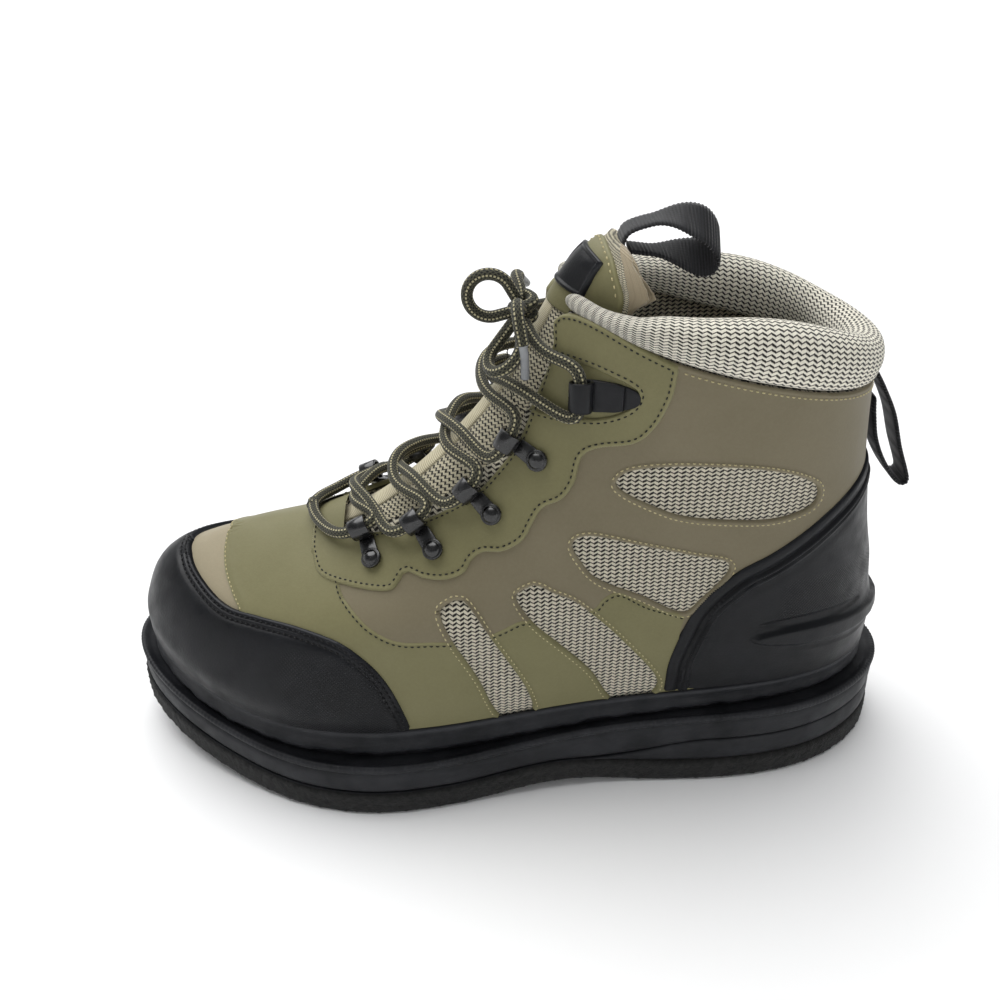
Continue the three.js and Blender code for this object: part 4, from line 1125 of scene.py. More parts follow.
lace_parts = []
for side, lift in ((1, 4.4), (-1, 8)):
    path = lace_path(side, lift)
    line = rounded(path)
    line = even(line, int(length_of(line) / 0.8))
    bores = []
    for i, keeper in enumerate([*HOOKS, TAB]):
        hand = side if i % 2 == 0 else -side
        bores.append(np.mean(through_bore(keeper, hand, *seat_of(keeper), 1)[::3], axis=0))
    line = eased(line, np.array(bores))
    lace_parts.append(tube(line, LACE / 2))
points, faces, uv = join(lace_parts)
lacing = piece("lacing", points, faces, LACE_LOOK, "lace", uv)
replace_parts(lacing, "lace_crossings")

knot_line = []
for share in np.arange(60) / 59:
    angle = 2 * math.pi * KNOT_TURNS * share
    climb = (share - 0.5) * KNOT_TURNS * (LACE + 2 * GAP)
    knot_line.append(knot_middle + [KNOT_RADIUS * math.cos(angle), KNOT_RADIUS * math.sin(angle), climb])
cord_piece("bow_knot", np.array(knot_line), "lace_knot")


def loop_line(out, across, reach, radius):
    """Two straight legs that leave the knot, and the round tip that they touch"""
    out = unit(np.array(out, float))
    across = np.array(across, float)
    across = unit(across - out * (across @ out))
    turn = math.pi - math.acos(radius / reach)
    angles = np.linspace(turn, -turn, 40)[:, None]
    tip = knot_middle + reach * out + radius * (np.cos(angles) * out + np.sin(angles) * across)
    legs = np.linspace(0.33, 1, 12, endpoint=False)[:, None]
    return np.vstack([mix(knot_middle, tip[0], legs), tip, mix(knot_middle, tip[-1], legs[::-1])])


def end_line(shares):
    stops = [knot_middle + np.array(share) * BOW_REACH for share in shares]
    stops.insert(0, mix(stops[0], knot_middle, 0.45))
    line = rounded(stops)
    return eased(even(line, int(length_of(line) / CORD_STEP)), passes=24)


def bow(name, line, node, far_end):
    made, line = cord_piece(name, line, node, TIP_LENGTH if far_end == "bare" else 0.0)
    length_of(line) * MM


bow("bow_loop_a", loop_line(**LOOP_A), "lace_loop_a", "object")
bow("bow_loop_b", loop_line(**LOOP_B), "lace_loop_b", "object")
bow("bow_end_a", end_line(END_A), "lace_end_a", "bare")
bow("bow_end_b", end_line(END_B), "lace_end_b", "bare")


def folded_sheet(line, corners, widths, seat):
    """Sheet bent along a flat line. Corners are of its cross-section, widths its half widths."""
    middle, towards, through, out, _ = seat
    aside = left_of(line)
    points = []
    for i in range(len(line)):
        for across, thick in corners:
            a, b = line[i] + aside[i] * thick * HOOK_SHEET
            points.append(middle + towards * a + out * b + through * across * widths[i])
    rows, around = len(line), len(corners)
    faces = grid_faces(rows, around, wrap_columns=True).tolist()
    faces += [list(range(around)), list(range((rows - 1) * around, rows * around))[::-1]]
    points = np.array(points)
    return points, turned_out(points, faces), np.zeros((len(points), 2))


def make_hook(name, keeper, side, node):
    """Riveted plate whose end is rolled into a tunnel for the lace"""
    seat = keeper_frame(keeper, side, HOOK_LIFT)
    middle, towards, through, out, _ = seat
    reach = HOOK_REACH
    back = -(reach + RIVET) / 2
    arc = np.radians(np.linspace(-90, 235, 30))
    flat = np.stack([np.linspace(back, reach / 2, 14, endpoint=False), np.full(14, HOOK_SHEET / 2)], 1)
    radius = BORE_UP - HOOK_SHEET / 2
    ring = np.stack([reach / 2 + radius * np.cos(arc), BORE_UP + radius * np.sin(arc)], 1)
    line = np.vstack([flat, ring])
    far = np.linspace(0, 1, len(line))
    head = np.clip((line[:, 0] - back) / (RIVET / 2), 0, 1)
    head[14:] = 1
    widths = HOOK_WIDTH / 2 * np.sqrt(np.maximum(1 - (1 - head) ** 2, 0.02))
    widths *= 1 - 0.16 * np.exp(-((far - 0.32) / 0.1) ** 2)
    widths *= 1 + 0.1 * smooth((far - 0.5) / 0.2)
    sheet = folded_sheet(line, HOOK_CORNERS, widths, seat)
    stud = middle - towards * reach / 2 + out * HOOK_SHEET * 0.9
    angles = np.arange(28) / 28 * 2 * np.pi
    spokes = np.cos(angles)[:, None] * towards + np.sin(angles)[:, None] * through
    points = np.vstack([stud + radius * spokes + height * out for radius, height in RIVET_PROFILE])
    cap = (points, turned_out(points, loft_faces(len(RIVET_PROFILE), 28)), np.zeros((len(points), 2)))
    points, faces, uv = join([sheet, cap])
    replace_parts(piece(name, points, faces, METAL, "hook_metal", uv), node)


HOOK_CORNERS = [
    (-1, -0.35), (-0.93, -0.5), (0.93, -0.5), (1, -0.35), (1, 0.35), (0.93, 0.5), (-0.93, 0.5), (-1, 0.35),
]
RIM_RADIUS = RIVET / 2 + 0.35
RIVET_PROFILE = [
    (RIM_RADIUS, -0.6), (RIM_RADIUS, 0.35), (RIM_RADIUS - 0.2, 0.62), (RIM_RADIUS - 0.65, 0.7),
    (RIM_RADIUS - 0.85, 0.6), (RIM_RADIUS - 1.0, 1.0), (RIM_RADIUS - 1.6, 1.6), (RIM_RADIUS - 2.6, 2.0),
    (0.02, 2.15),
]
for hand, side in (("outer", 1), ("inner", -1)):
    for i, keeper in enumerate(HOOKS):
        make_hook(f"hook_{hand}_{i + 1}", keeper, side, f"lace_hook_{hand}_{i + 1}")


def make_tab(hand, side):
    """Rubber strap folded round the lace, with a tapered tail sewn down behind"""
    arc = np.radians(np.linspace(-90, 215, 34))
    start = np.linspace(-TAB_REACH / 2 - 5, TAB_REACH / 2, 30, endpoint=False)
    flat = np.stack([start, np.full(30, HOOK_SHEET / 2)], 1)
    radius = BORE_UP - HOOK_SHEET / 2
    ring = np.stack([TAB_REACH / 2 + radius * np.cos(arc), BORE_UP + radius * np.sin(arc)], 1)
    end_x, end_up = ring[-1]
    fall = np.linspace(1, 0, 20)[1:] ** 2
    tail = np.stack([np.linspace(end_x, -7, 20)[1:], 1.9 + (end_up - 1.9) * fall], 1)
    line = even(np.vstack([flat, ring, tail]), 130)
    widths = np.interp(line[:, 0], *zip(*TAB_WIDTHS))
    points, faces, _ = folded_sheet(line, TAB_CORNERS, widths, keeper_frame(TAB, side, TAB_LIFT))
    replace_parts(piece(f"tab_{hand}", points, faces, PATCH, "webbing"), f"lace_tab_{hand}")


TAB_WIDTHS = [(-12.5, 0.8), (-12, 1.9), (-10.5, 3.0), (-8, 3.9), (-4, 4.9), (3, 5.4), (8, 5.1), (12, 4.8)]
TAB_CORNERS = [
    (-1, -0.4), (-0.94, -0.5), (-0.4, -0.5), (0.4, -0.5), (0.94, -0.5), (1, -0.4),
    (1, 0.4), (0.94, 0.5), (0.4, 0.5), (-0.4, 0.5), (-0.94, 0.5), (-1, 0.4),
]
make_tab("outer", 1)
make_tab("inner", -1)

# Sole


def sole_edge(angle, side, inset):
    def at(a):
        x = along((1 - np.cos(a)) / 2)
        return np.stack([x, centre_line(x) + side * BALL_WIDTH * rounded_width(SOLE_HALF_WIDTHS, a)], -1)

    run = unit(at(angle + 1e-3) - at(angle - 1e-3))
    aside = np.stack([side * run[:, 1], -side * run[:, 0]], 1)
    return at(angle) + aside * np.asarray(inset, float)[..., None]


def sole_ring(count):
    """Angle and side of evenly spread stations once round the sole"""
    half = count // 2
    a = np.linspace(0, np.pi, 2001)
    p = sole_edge(a, np.ones_like(a), np.zeros_like(a))
    far = along_line(p)
    angle = np.interp(np.linspace(0, far[-1], half + 1), far, a)
    angles = np.concatenate([angle, angle[1:-1][::-1]])
    sides = np.concatenate([np.ones(half + 1), -np.ones(half - 1)])
    return angles, sides


def sole_piece(name, count, profile, material, slot, node):
    """Sole layer lofted round the outline; profile rows are (inset, height function)"""
    angle, side = sole_ring(count)
    outline = sole_edge(angle, side, np.zeros(count))
    far = along_line(outline)
    rings, uv = [], []
    for inset, height in profile:
        aside = inset(far) if callable(inset) else np.full(count, float(inset))
        p = sole_edge(angle, side, aside)
        height, waves = height if isinstance(height, tuple) else (height, None)
        z = height(p[:, 0])
        if waves:
            z = z + waves(far)
        rings.append(np.column_stack([p, z]))
        uv.append(np.stack([far, z], 1))
    points = np.vstack(rings)
    faces = turned_out(points, strip_loft_faces(len(profile), count))
    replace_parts(piece(name, points, faces, material, slot, np.vstack(uv), wear=np.zeros(len(points))), node)


def ripple(size, *waves):
    """Small unevenness along the sole's edge from a few waves"""
    return lambda far: size * sum(np.sin(far * w + k * 1.7) for k, w in enumerate(waves)) / len(waves)


felt_rows = [(1.6, felt_bottom), (0.5, lambda x: felt_bottom(x) + 0.4)]
for i in range(7):
    height = lambda x, share=0.1 + 0.13 * i: felt_bottom(x) + share * FELT
    felt_rows.append((ripple(0.38, 1.31 + i * 0.37, 2.9 - i * 0.21, 0.53 + i * 0.11), height))
felt_rows += [(0.7, lambda x: felt_top(x) - 0.2), (2.2, felt_top)]
sole_piece("felt_sole", 900, felt_rows, FELT_LOOK, "felt", "outsole_felt")


def wedge_height(share):
    return lambda x: mix(felt_top(x) + GAP, np.maximum(wedge_top(x), felt_top(x) + GAP + 0.2), share)


sole_piece("heel_lift", 500, [
    (1.4, wedge_height(0)), (1.0, wedge_height(0.06)), (0.55, wedge_height(0.16)), (0.4, wedge_height(0.5)),
    (0.55, wedge_height(0.84)), (1.0, wedge_height(0.94)), (1.3, wedge_height(1)),
], SOLE_RUBBER, "wedge_foam", "heel_wedge")


def band(share):
    return lambda x: mix(wedge_top(x) + GAP, midsole_top(x), share)


def bead(size):
    return lambda far: size * (np.abs(np.sin(far * math.pi / 1.9)) - 0.5)


def top_less(drop):
    return lambda x: midsole_top(x) - drop


sole_piece("midsole_band", 1500, [
    (2.0, band(0)), (1.2, band(0.03)), (0.8, band(0.08)), (0.62, band(0.2)), (0.55, band(0.36)),
    (0.6, band(0.52)), (0.8, top_less(4.4)), (1.25, top_less(4.0)), (1.25, top_less(3.6)),
    (0.55, top_less(3.2)), (0.1, top_less(2.5)), (lambda far: 0.15 - bead(0.34)(far), top_less(1.5)),
    (lambda far: 0.55 - bead(0.3)(far), (top_less(0.6), bead(0.3))), (1.3, (top_less(0.25), bead(0.16))),
    (2.2, top_less(0.5)), (3.2, top_less(1.2)), (4.4, top_less(1.5)), (6.5, top_less(1.5)),
], SOLE_RUBBER, "midsole_rubber", "midsole")


# Out from the last, share of the rand's height, how far the waves reach, wear
RAND_ROWS = [
    (0.15, 0.0, 0, 0), (0.9, 0.02, 0, 0), (0.8, 0.12, 0.6, 0), (1.5, 0.16, 1, 0.3), (2.2, 0.22, 1, 0.6),
    (2.45, 0.32, 0.7, 0.4), (2.1, 0.46, 0.2, 0.1), (1.95, 0.62, 0, 0), (2.1, 0.74, 0, 0),
    (2.35, 0.84, 0, 0.4), (2.2, 0.93, 0, 0.9), (1.5, 0.985, 0, 0.5), (0.8, 0.98, 0, 0), (0.2, 0.9, 0, 0),
]


def make_rand():
    count = 640
    turns = np.arange(count) / count
    outline = skirt_point(turns, np.full(count, GAP), 0)
    far = along_line(outline)
    lumps = 0.45 * np.sin(far * 0.27) * np.sin(far * 0.093 + 1) + 0.28 * np.sin(far * 0.71 + 2)
    lumps += 0.15 * np.sin(far * 1.9)
    tall = rim(outline[:, 0]) - ledge(outline[:, 0])
    lumps += 0.5 * np.maximum(0, np.sin(far * 0.19 + 2 * np.sin(far * 0.05))) ** 3
    rings, uv = [], []
    for aside, share, wave, _ in RAND_ROWS:
        p = skirt_point(turns, aside + 0.12 * np.sin(far * 0.4) * (share < 0.5), 0)
        p[:, 2] = ledge(p[:, 0]) + share * tall + wave * lumps
        rings.append(p)
        uv.append(np.stack([far, p[:, 2]], 1))
    points = np.vstack(rings)
    wear = np.repeat([row[3] for row in RAND_ROWS], count)
    faces = grid_faces(len(RAND_ROWS), count, wrap_rows=True, wrap_columns=True)[:, ::-1]
    made = piece("rand_strip", points, faces, SOLE_RUBBER, "rand_rubber", np.vstack(uv), wear=wear)
    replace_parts(made, "rand")


make_rand()


def make_insole():
    count = 200
    turns = np.arange(count) / count
    edge = UPPER_WALL + GAP
    rows = [(edge, 0.3), (edge, 9.0), (edge + 1, 9.4), (edge + 2.4, 9.2), (edge + 6, 7), (edge + 12, 4.3)]
    rings = [skirt_point(turns, np.full(count, -aside), lift) for aside, lift in rows]
    points = np.vstack(rings)
    faces = turned_out(points, strip_loft_faces(len(rows), count))
    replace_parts(piece("insole_sheet", points, faces, INSOLE, "insole_textile", points[:, :2]), "insole")


make_insole()

# Upper: knit shell, then the sheets sewn over it


def make_shell():
    levels = np.concatenate([np.linspace(0, THROAT_START, 34), np.linspace(THROAT_START, 1, 40)[1:]])
    outer, inner = throat_edge(levels)
    outer[levels <= THROAT_START] = 0
    inner[levels <= THROAT_START] = 0
    columns = 200
    share = np.linspace(0, 1, columns)
    turn = mix(outer[:, None], (1 - inner)[:, None], share[None])
    level = np.repeat(levels[:, None], columns, 1)
    layers, uvs = [], []
    for depth in (0.0, -UPPER_WALL):
        p = off_last(level.ravel(), turn.ravel(), depth)
        foot = skirt_point(turn[0], np.full(columns, depth), GAP)
        rows = np.vstack([foot, p])
        layers.append(rows)
        uvs.append(rows[:, [0, 2]])
    count = len(levels) + 1
    out_faces = grid_faces(count, columns)
    size = count * columns
    faces = out_faces.tolist() + (out_faces[:, ::-1] + size).tolist()
    rim_line = [columns * (count - 1) + k for k in range(columns)]
    faces += [[a, b, b + size, a + size] for a, b in zip(rim_line, rim_line[1:])]
    for k in range(count - 1):
        a, b = k * columns, (k + 1) * columns
        faces.append([b, a, a + size, b + size])
        a, b = a + columns - 1, b + columns - 1
        faces.append([a, b, b + size, a + size])
    points = np.vstack(layers)
    made = piece("upper_shell", points, turned_out(points, faces), KNIT, "upper_leather", np.vstack(uvs))
    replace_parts(made, "upper")
    weld(made)


make_shell()

cap_edge = from_side(curve(TOE_CAP_EDGE, 60))
counter_edge = from_side(curve(COUNTER_EDGE, 60))
stay_edge = from_side(curve(EYESTAY_EDGE, 120))
stay_edge = stay_edge[stay_edge[:, 1] < 0.994]
low_edge = from_side(curve(LOW_PANEL_EDGE, 70))
toe_seam = from_side(curve(TOE_SEAM, 24))
windows = [from_side(curve(window, 70, closed=True)[:-1]) for window in WINDOWS]
stay_window = from_side(curve(EYESTAY_WINDOW, 60, closed=True)[:-1])


def clipped(line, low=0.004):
    """The part of a line above the rim"""
    return line[line[:, 1] > low]


def front_line(share, turn_end, count=14):
    turns = np.linspace(0, turn_end, count)
    return np.stack([turns, level_at_x(turns, share)], 1)


FLOOR_LEVEL = 0.002

# Toe strip, between the bumper and the toe seam
toe_line = np.vstack([front_line(0.857, toe_seam[0, 0], 10)[:-1], toe_seam])
strip = np.vstack([
    [[0, 0.16], [0, 0.55]],
    [[0.05, 0.5], [0.13, 0.3], [0.17, 0.12], [0.1, 0.13], [0.05, 0.15]],
])
skin("toe_strip", strip, [strip[2:6]], [(0, 0.5), (1, 0.5)], TAN, "upper_leather", cell=3.2)

# Vamp and the low panel behind it
vamp = np.vstack([
    toe_line,
    [[0.12, 0.1], [0.16, FLOOR_LEVEL], [0.25, FLOOR_LEVEL], [0.33, FLOOR_LEVEL]],
    low_edge,
    [[low_edge[-1, 0] * 0.9, low_edge[-1, 1] + 0.03]],
    front_line(0.7, 0.08)[::-1],
])
window_edges = [closed_line(window) for window in windows]
vamp_edges = [toe_line, low_edge, *window_edges[1:]]


def ridge(surface, lines, distance, tall, wide):
    """Extra height along lines at a distance from them"""
    return tall * np.exp(-((distance_to(surface, lines) - distance) / wide) ** 2)


toe_line_3d = on_last(toe_line)
window_3d = [on_last(spaced(edge, 1)) for edge in window_edges]


def vamp_extra(surface):
    return ridge(surface, [toe_line_3d], 2.9, 0.35, 0.6) + ridge(surface, window_3d, 1.0, 0.5, 0.8)


FINE = [(0, -0.15), (0.15, 0.5), (0.45, 0.9), (0.9, 1.15), (1.5, 1.2), (2.2, 1.1), (3.0, 1.15), (4.0, 1.1)]
skin("vamp", vamp, vamp_edges, [(d, h * 1.2) for d, h in FINE], OLIVE, "upper_leather",
                  holes=windows[1:], extra=vamp_extra)

# Quarter
SEAM_LEVEL = 1.002
seam_line = np.stack([np.linspace(stay_edge[-1, 0] - 0.02, 0.5, 30), np.full(30, SEAM_LEVEL)], 1)
quarter = np.vstack([
    seam_line,
    [[0.5, 0.6]],
    from_side(np.array(COUNTER_EDGE[::-1])[:-2] + [0.006, -0.03]),
    from_side(QUARTER_FOOT),
    from_side(QUARTER_FRONT),
])


skin("quarter", quarter, [seam_line, *window_edges], [(d, h * 0.95) for d, h in FINE], TAUPE, "upper_leather",
     holes=windows, extra=lambda surface: ridge(surface, window_3d, 1.0, 0.6, 0.8))

# Eyestay round the throat
throat_levels = np.linspace(THROAT_START, 1.0, 60)
outer_turn, inner_turn = throat_edge(throat_levels)
throat_line = np.stack([(outer_turn + inner_turn) / 2, throat_levels], 1)
front = front_line(EYESTAY_FRONT, stay_edge[0, 0])
throat_line = throat_line[throat_line[:, 1] < 0.945]
stay_corner = [[0.14, 1.012], [0.116, 1.014], [0.092, 1.008], [0.072, 0.993], [0.062, 0.97]]
stay_top = curve([[stay_edge[-1, 0] - 0.002, 1.0], *stay_corner], 40)
stay_rim = np.vstack([stay_edge[1:], stay_top, throat_line[::-1]])
stay = np.vstack([front, stay_rim, [[0, THROAT_START]]])
stay_line = np.vstack([front[:-1], stay_rim])
STAY = [(0, 0.3), (0.15, 1.1), (0.45, 1.9), (0.9, 2.35), (1.5, 2.4), (2.1, 2.2), (3.0, 2.3), (4.0, 2.3)]
stay_piece = skin("eyestay_panel", stay, [stay_line, closed_line(stay_window)], STAY, OLIVE,
                  "eyestay_leather", holes=[stay_window])
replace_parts(stay_piece, "eyestay")
backing = stay_window.mean(0) + (stay_window - stay_window.mean(0)) * 1.12
backing[:, 0] = np.maximum(backing[:, 0], np.interp(backing[:, 1], throat_levels, outer_turn) + 0.003)
skin("eyestay_backing", backing, [closed_line(backing)], [(0, 0.1), (1, 1.1)], OLIVE, "eyestay_leather",
     cell=2.0)

# Bumper and counter
bumper_edge = np.vstack([clipped(cap_edge, FLOOR_LEVEL), [[0, cap_edge[-1, 1]]]])
bumper = np.vstack([[[0, FLOOR_LEVEL], [0.05, FLOOR_LEVEL], [0.12, FLOOR_LEVEL]], bumper_edge])
BUMPER_HEIGHTS = [
    (0, 0.2), (0.2, 1.6), (0.6, 2.3), (1.2, 2.6), (1.9, 1.9), (2.6, 2.5), (3.3, 2.6), (4.1, 1.9), (4.8, 2.4),
    (5.6, 2.7), (7, 2.8),
]
bumper_piece = skin("toe_bumper", bumper, [bumper_edge], BUMPER_HEIGHTS, BUMPER, "bumper_rubber")
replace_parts(bumper_piece, "toe_cap")

counter_line = np.vstack([clipped(counter_edge, FLOOR_LEVEL), [[0.5, counter_edge[-1, 1]]]])
counter = np.vstack([counter_line, [[0.5, FLOOR_LEVEL], [0.42, FLOOR_LEVEL]]])
COUNTER_HEIGHTS = [
    (0, 0.2), (0.2, 1.6), (0.6, 2.1), (2.0, 2.3), (4.6, 2.3), (5.1, 1.3), (5.5, 1.4), (6.0, 2.8), (6.6, 3.2),
    (7.2, 2.7), (7.6, 1.7), (8.0, 2.7), (8.6, 3.1), (9.2, 2.6), (9.8, 1.7), (11, 2.0), (13, 2.4),
]


def rib(surface, start, end, wide, tall):
    """Spindle-shaped rib in the side view"""
    start, end = np.array(start, float), np.array(end, float)
    run = end - start
    flat = surface[:, [0, 2]] - start
    share = flat @ run / (run @ run)
    across = (flat[:, 0] * run[1] - flat[:, 1] * run[0]) / np.linalg.norm(run)
    body = np.sqrt(np.clip(1 - (2 * share - 1) ** 2, 0, 1))
    edge = np.abs(across) / np.maximum(wide * body, 0.05)
    return np.where((share > 0) & (share < 1), tall * smooth((1.1 - edge) / 0.42), 0)


def counter_extra(surface):
    added = rib(surface, (22, 66), (-36, 62), 4.4, 2.0) - rib(surface, (20, 71.5), (-24, 70.5), 2.2, 0.7)
    return added - rib(surface, (8, 59.5), (-32, 55), 1.6, 0.4)


counter_piece = skin("heel_counter_shell", counter, [counter_line], COUNTER_HEIGHTS, BUMPER, "bumper_rubber",
                     cell=1.4, extra=counter_extra)
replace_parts(counter_piece, "heel_counter")

# Strip down the back under the heel loop
back_strip = np.array([[0.475, 0.7], [0.475, 0.998], [0.5, 0.998], [0.5, 0.7]])
back_heights = [(0, 0.9), (0.2, 1.3), (0.5, 1.6), (1.2, 1.7)]
back_edges = [back_strip[:2], back_strip[1:3]]
back_piece = skin("heel_back_strip", back_strip, back_edges, back_heights, STRAP, "eyestay_leather")
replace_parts(back_piece, "heel_strip")

# Stitches on the upper


def kept_runs(keep, least):
    """Runs of places that are kept, when they are longer than the least count"""
    runs = np.split(np.arange(len(keep)), np.where(np.diff(keep.astype(int)) != 0)[0] + 1)
    return [run for run in runs if keep[run[0]] and len(run) > least]


def of_both_sides(edge, distance, measure):
    """The line beside an edge that measures least of the two"""
    return min([beside(edge, -distance), beside(edge, distance)], key=measure)


def mean_level(ring):
    return ring[:, 1].mean()


pale, dark, black = [], [], []
under_counter = np.vstack([counter_line, [[0.5, 0]], [[counter_line[0, 0], 0]]]) * FLAT
for edge in window_edges:
    for distance in (-1.7, 1.7):
        ring = beside(edge, distance)
        if not inside(ring[:5] * FLAT, edge[:-1] * FLAT).any():
            for run in kept_runs(~inside(ring * FLAT, under_counter) & (ring[:, 1] > 0.01), 6):
                pale += stitches_on_last(ring[run], 1.5, pitch=2.1, size=0.75)
for distance in (-1.9, 1.9):
    ring = beside(stay_line, distance, lambda r: (r[:, 0] > 0.001) & inside(r * FLAT, stay * FLAT))
    if len(ring) > 200:
        dark += stitches_on_last(ring, 2.35, pitch=2.3, size=0.85)
for distance in (-1.9, 1.9):
    ring = beside(closed_line(stay_window), distance)
    if not inside(ring[:5] * FLAT, stay_window * FLAT).any():
        dark += stitches_on_last(ring, 2.35, pitch=2.4, size=0.8)
low_stitch = of_both_sides(low_edge, 1.8, mean_level)
in_window = np.any([inside(low_stitch * FLAT, window * FLAT) for window in windows], axis=0)
for run in kept_runs(~in_window, 5):
    dark += stitches_on_last(low_stitch[run], 1.6, pitch=2.3, size=0.8)
toe_stitch = of_both_sides(toe_line, 1.3, lambda ring: on_last(ring)[:, 0].mean())
pale += stitches_on_last(toe_stitch, 1.35, pitch=2.1, size=0.8)
seam_turns = np.linspace(stay_edge[-1, 0] + 0.004, 0.5, 120)
seam_stitch = np.stack([seam_turns, np.full(120, SEAM_LEVEL - 0.014)], 1)
pale += stitches_on_last(seam_stitch, 1.15, pitch=2.3, size=0.85)
for distance in (1.9, 4.1):
    black += stitches_on_last(of_both_sides(bumper_edge, distance, mean_level), 2.35, pitch=2.5, size=0.95)
stitched("pale_stitches", pale, PALE_THREAD, "upper_leather")
stitched("dark_stitches", dark, DARK_THREAD, "upper_leather")
stitched("bumper_stitches", black, BLACK_THREAD, "bumper_rubber")

# Padded collar


def inflate(made, pressure, cap, held):
    """Cloth pressure on a closed mesh, with some points held and each move capped in millimetres"""
    scene = bpy.context.scene
    rest = np.empty(3 * len(made.data.vertices))
    made.data.vertices.foreach_get("co", rest)
    group = made.vertex_groups.new(name="held")
    group.add([int(i) for i in held], 1.0, "REPLACE")
    cloth = made.modifiers.new("cloth", "CLOTH")
    settings = cloth.settings
    settings.quality = 5
    settings.mass = 0.2
    settings.use_pressure = True
    settings.uniform_pressure_force = pressure
    settings.effector_weights.gravity = 0
    settings.vertex_group_mass = "held"
    cloth.point_cache.frame_start = 1
    cloth.point_cache.frame_end = 20
    for step in range(1, 21):
        scene.frame_set(step)
    shaped = made.evaluated_get(bpy.context.evaluated_depsgraph_get()).to_mesh()
    ended = np.empty(3 * len(shaped.vertices))
    shaped.vertices.foreach_get("co", ended)
    made.modifiers.remove(cloth)
    move = (ended - rest).reshape(-1, 3)
    size = np.linalg.norm(move, axis=1, keepdims=True)
    move *= np.minimum(1, cap * MM / np.maximum(size, 1e-9))
    made.data.vertices.foreach_set("co", rest + move.ravel())
    made.data.update()
    scene.frame_set(1)


def make_collar():
    stations, around = 190, 34
    section = curve(ROLL_SECTION, around + 1, closed=True)[:-1]
    turns = np.linspace(COLLAR_START - 0.006, 1.006 - COLLAR_START, stations)
    p = last_point(np.ones(stations), turns)
    out = unit(last_frame(np.ones(stations), turns)[2] * [1, 1, 0])
    share = (p[:, 0] + HEEL_TO_ORIGIN) / SOLE_LENGTH
    height = COLLAR_ROLL * np.maximum(read_table(ROLL_HEIGHT, share), 0.44)
    thick = COLLAR_THICK * read_table(ROLL_THICKNESS, share)
    far = along_line(p)
    from_end = np.minimum(far, far[-1] - far)
    slim = mix(0.55, 1, smooth((from_end - 14) / 30))
    height = height * slim
    thick = thick * mix(0.5, 1, slim)
    ends = np.sqrt(np.clip(1 - (1 - from_end / 8).clip(0, 1) ** 2, 0.04, 1))
    middle = np.array([-0.35, 0.16])
    rings, uv = [], []
    girth = along_line(section * [COLLAR_THICK, COLLAR_ROLL])
    for i in range(stations):
        shape = middle + (section - middle) * ends[i]
        up = 2 * GAP + shape[:, 1] * height[i]
        rings.append(p[i] + out[i] * (shape[:, :1] * thick[i]) + up[:, None] * [0, 0, 1])
        uv.append(np.stack([np.full(around, far[i]), girth], 1))
    points = np.vstack(rings)
    faces = turned_out(points, loft_faces(stations, around))
    made = piece("collar_pad", points, faces, COLLAR_KNIT, "collar_knit", np.vstack(uv))
    low = np.where(np.tile(section[:, 1] < 0.12, stations))[0]
    inflate(made, 3.5, 2.2, low)
    made.modifiers.new("smooth", "SUBSURF").render_levels = 1
    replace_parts(made, "collar")


make_collar()

# Tongue


def tongue_row(level):
    return [np.interp(level, TONGUE_ROWS[:, 0], TONGUE_ROWS[:, k]) for k in range(1, 5)]


def tongue_front(level, across, below=0.0):
    level, across = np.broadcast_arrays(np.asarray(level, float), np.asarray(across, float))
    middle, edge, width, swell = tongue_row(level)
    turn = turn_across(level, across * width * TONGUE_WIDTH / 2)
    depth = mix(middle, edge, smooth(np.abs(across) / 0.85))
    return off_last(level, turn, -depth - below)


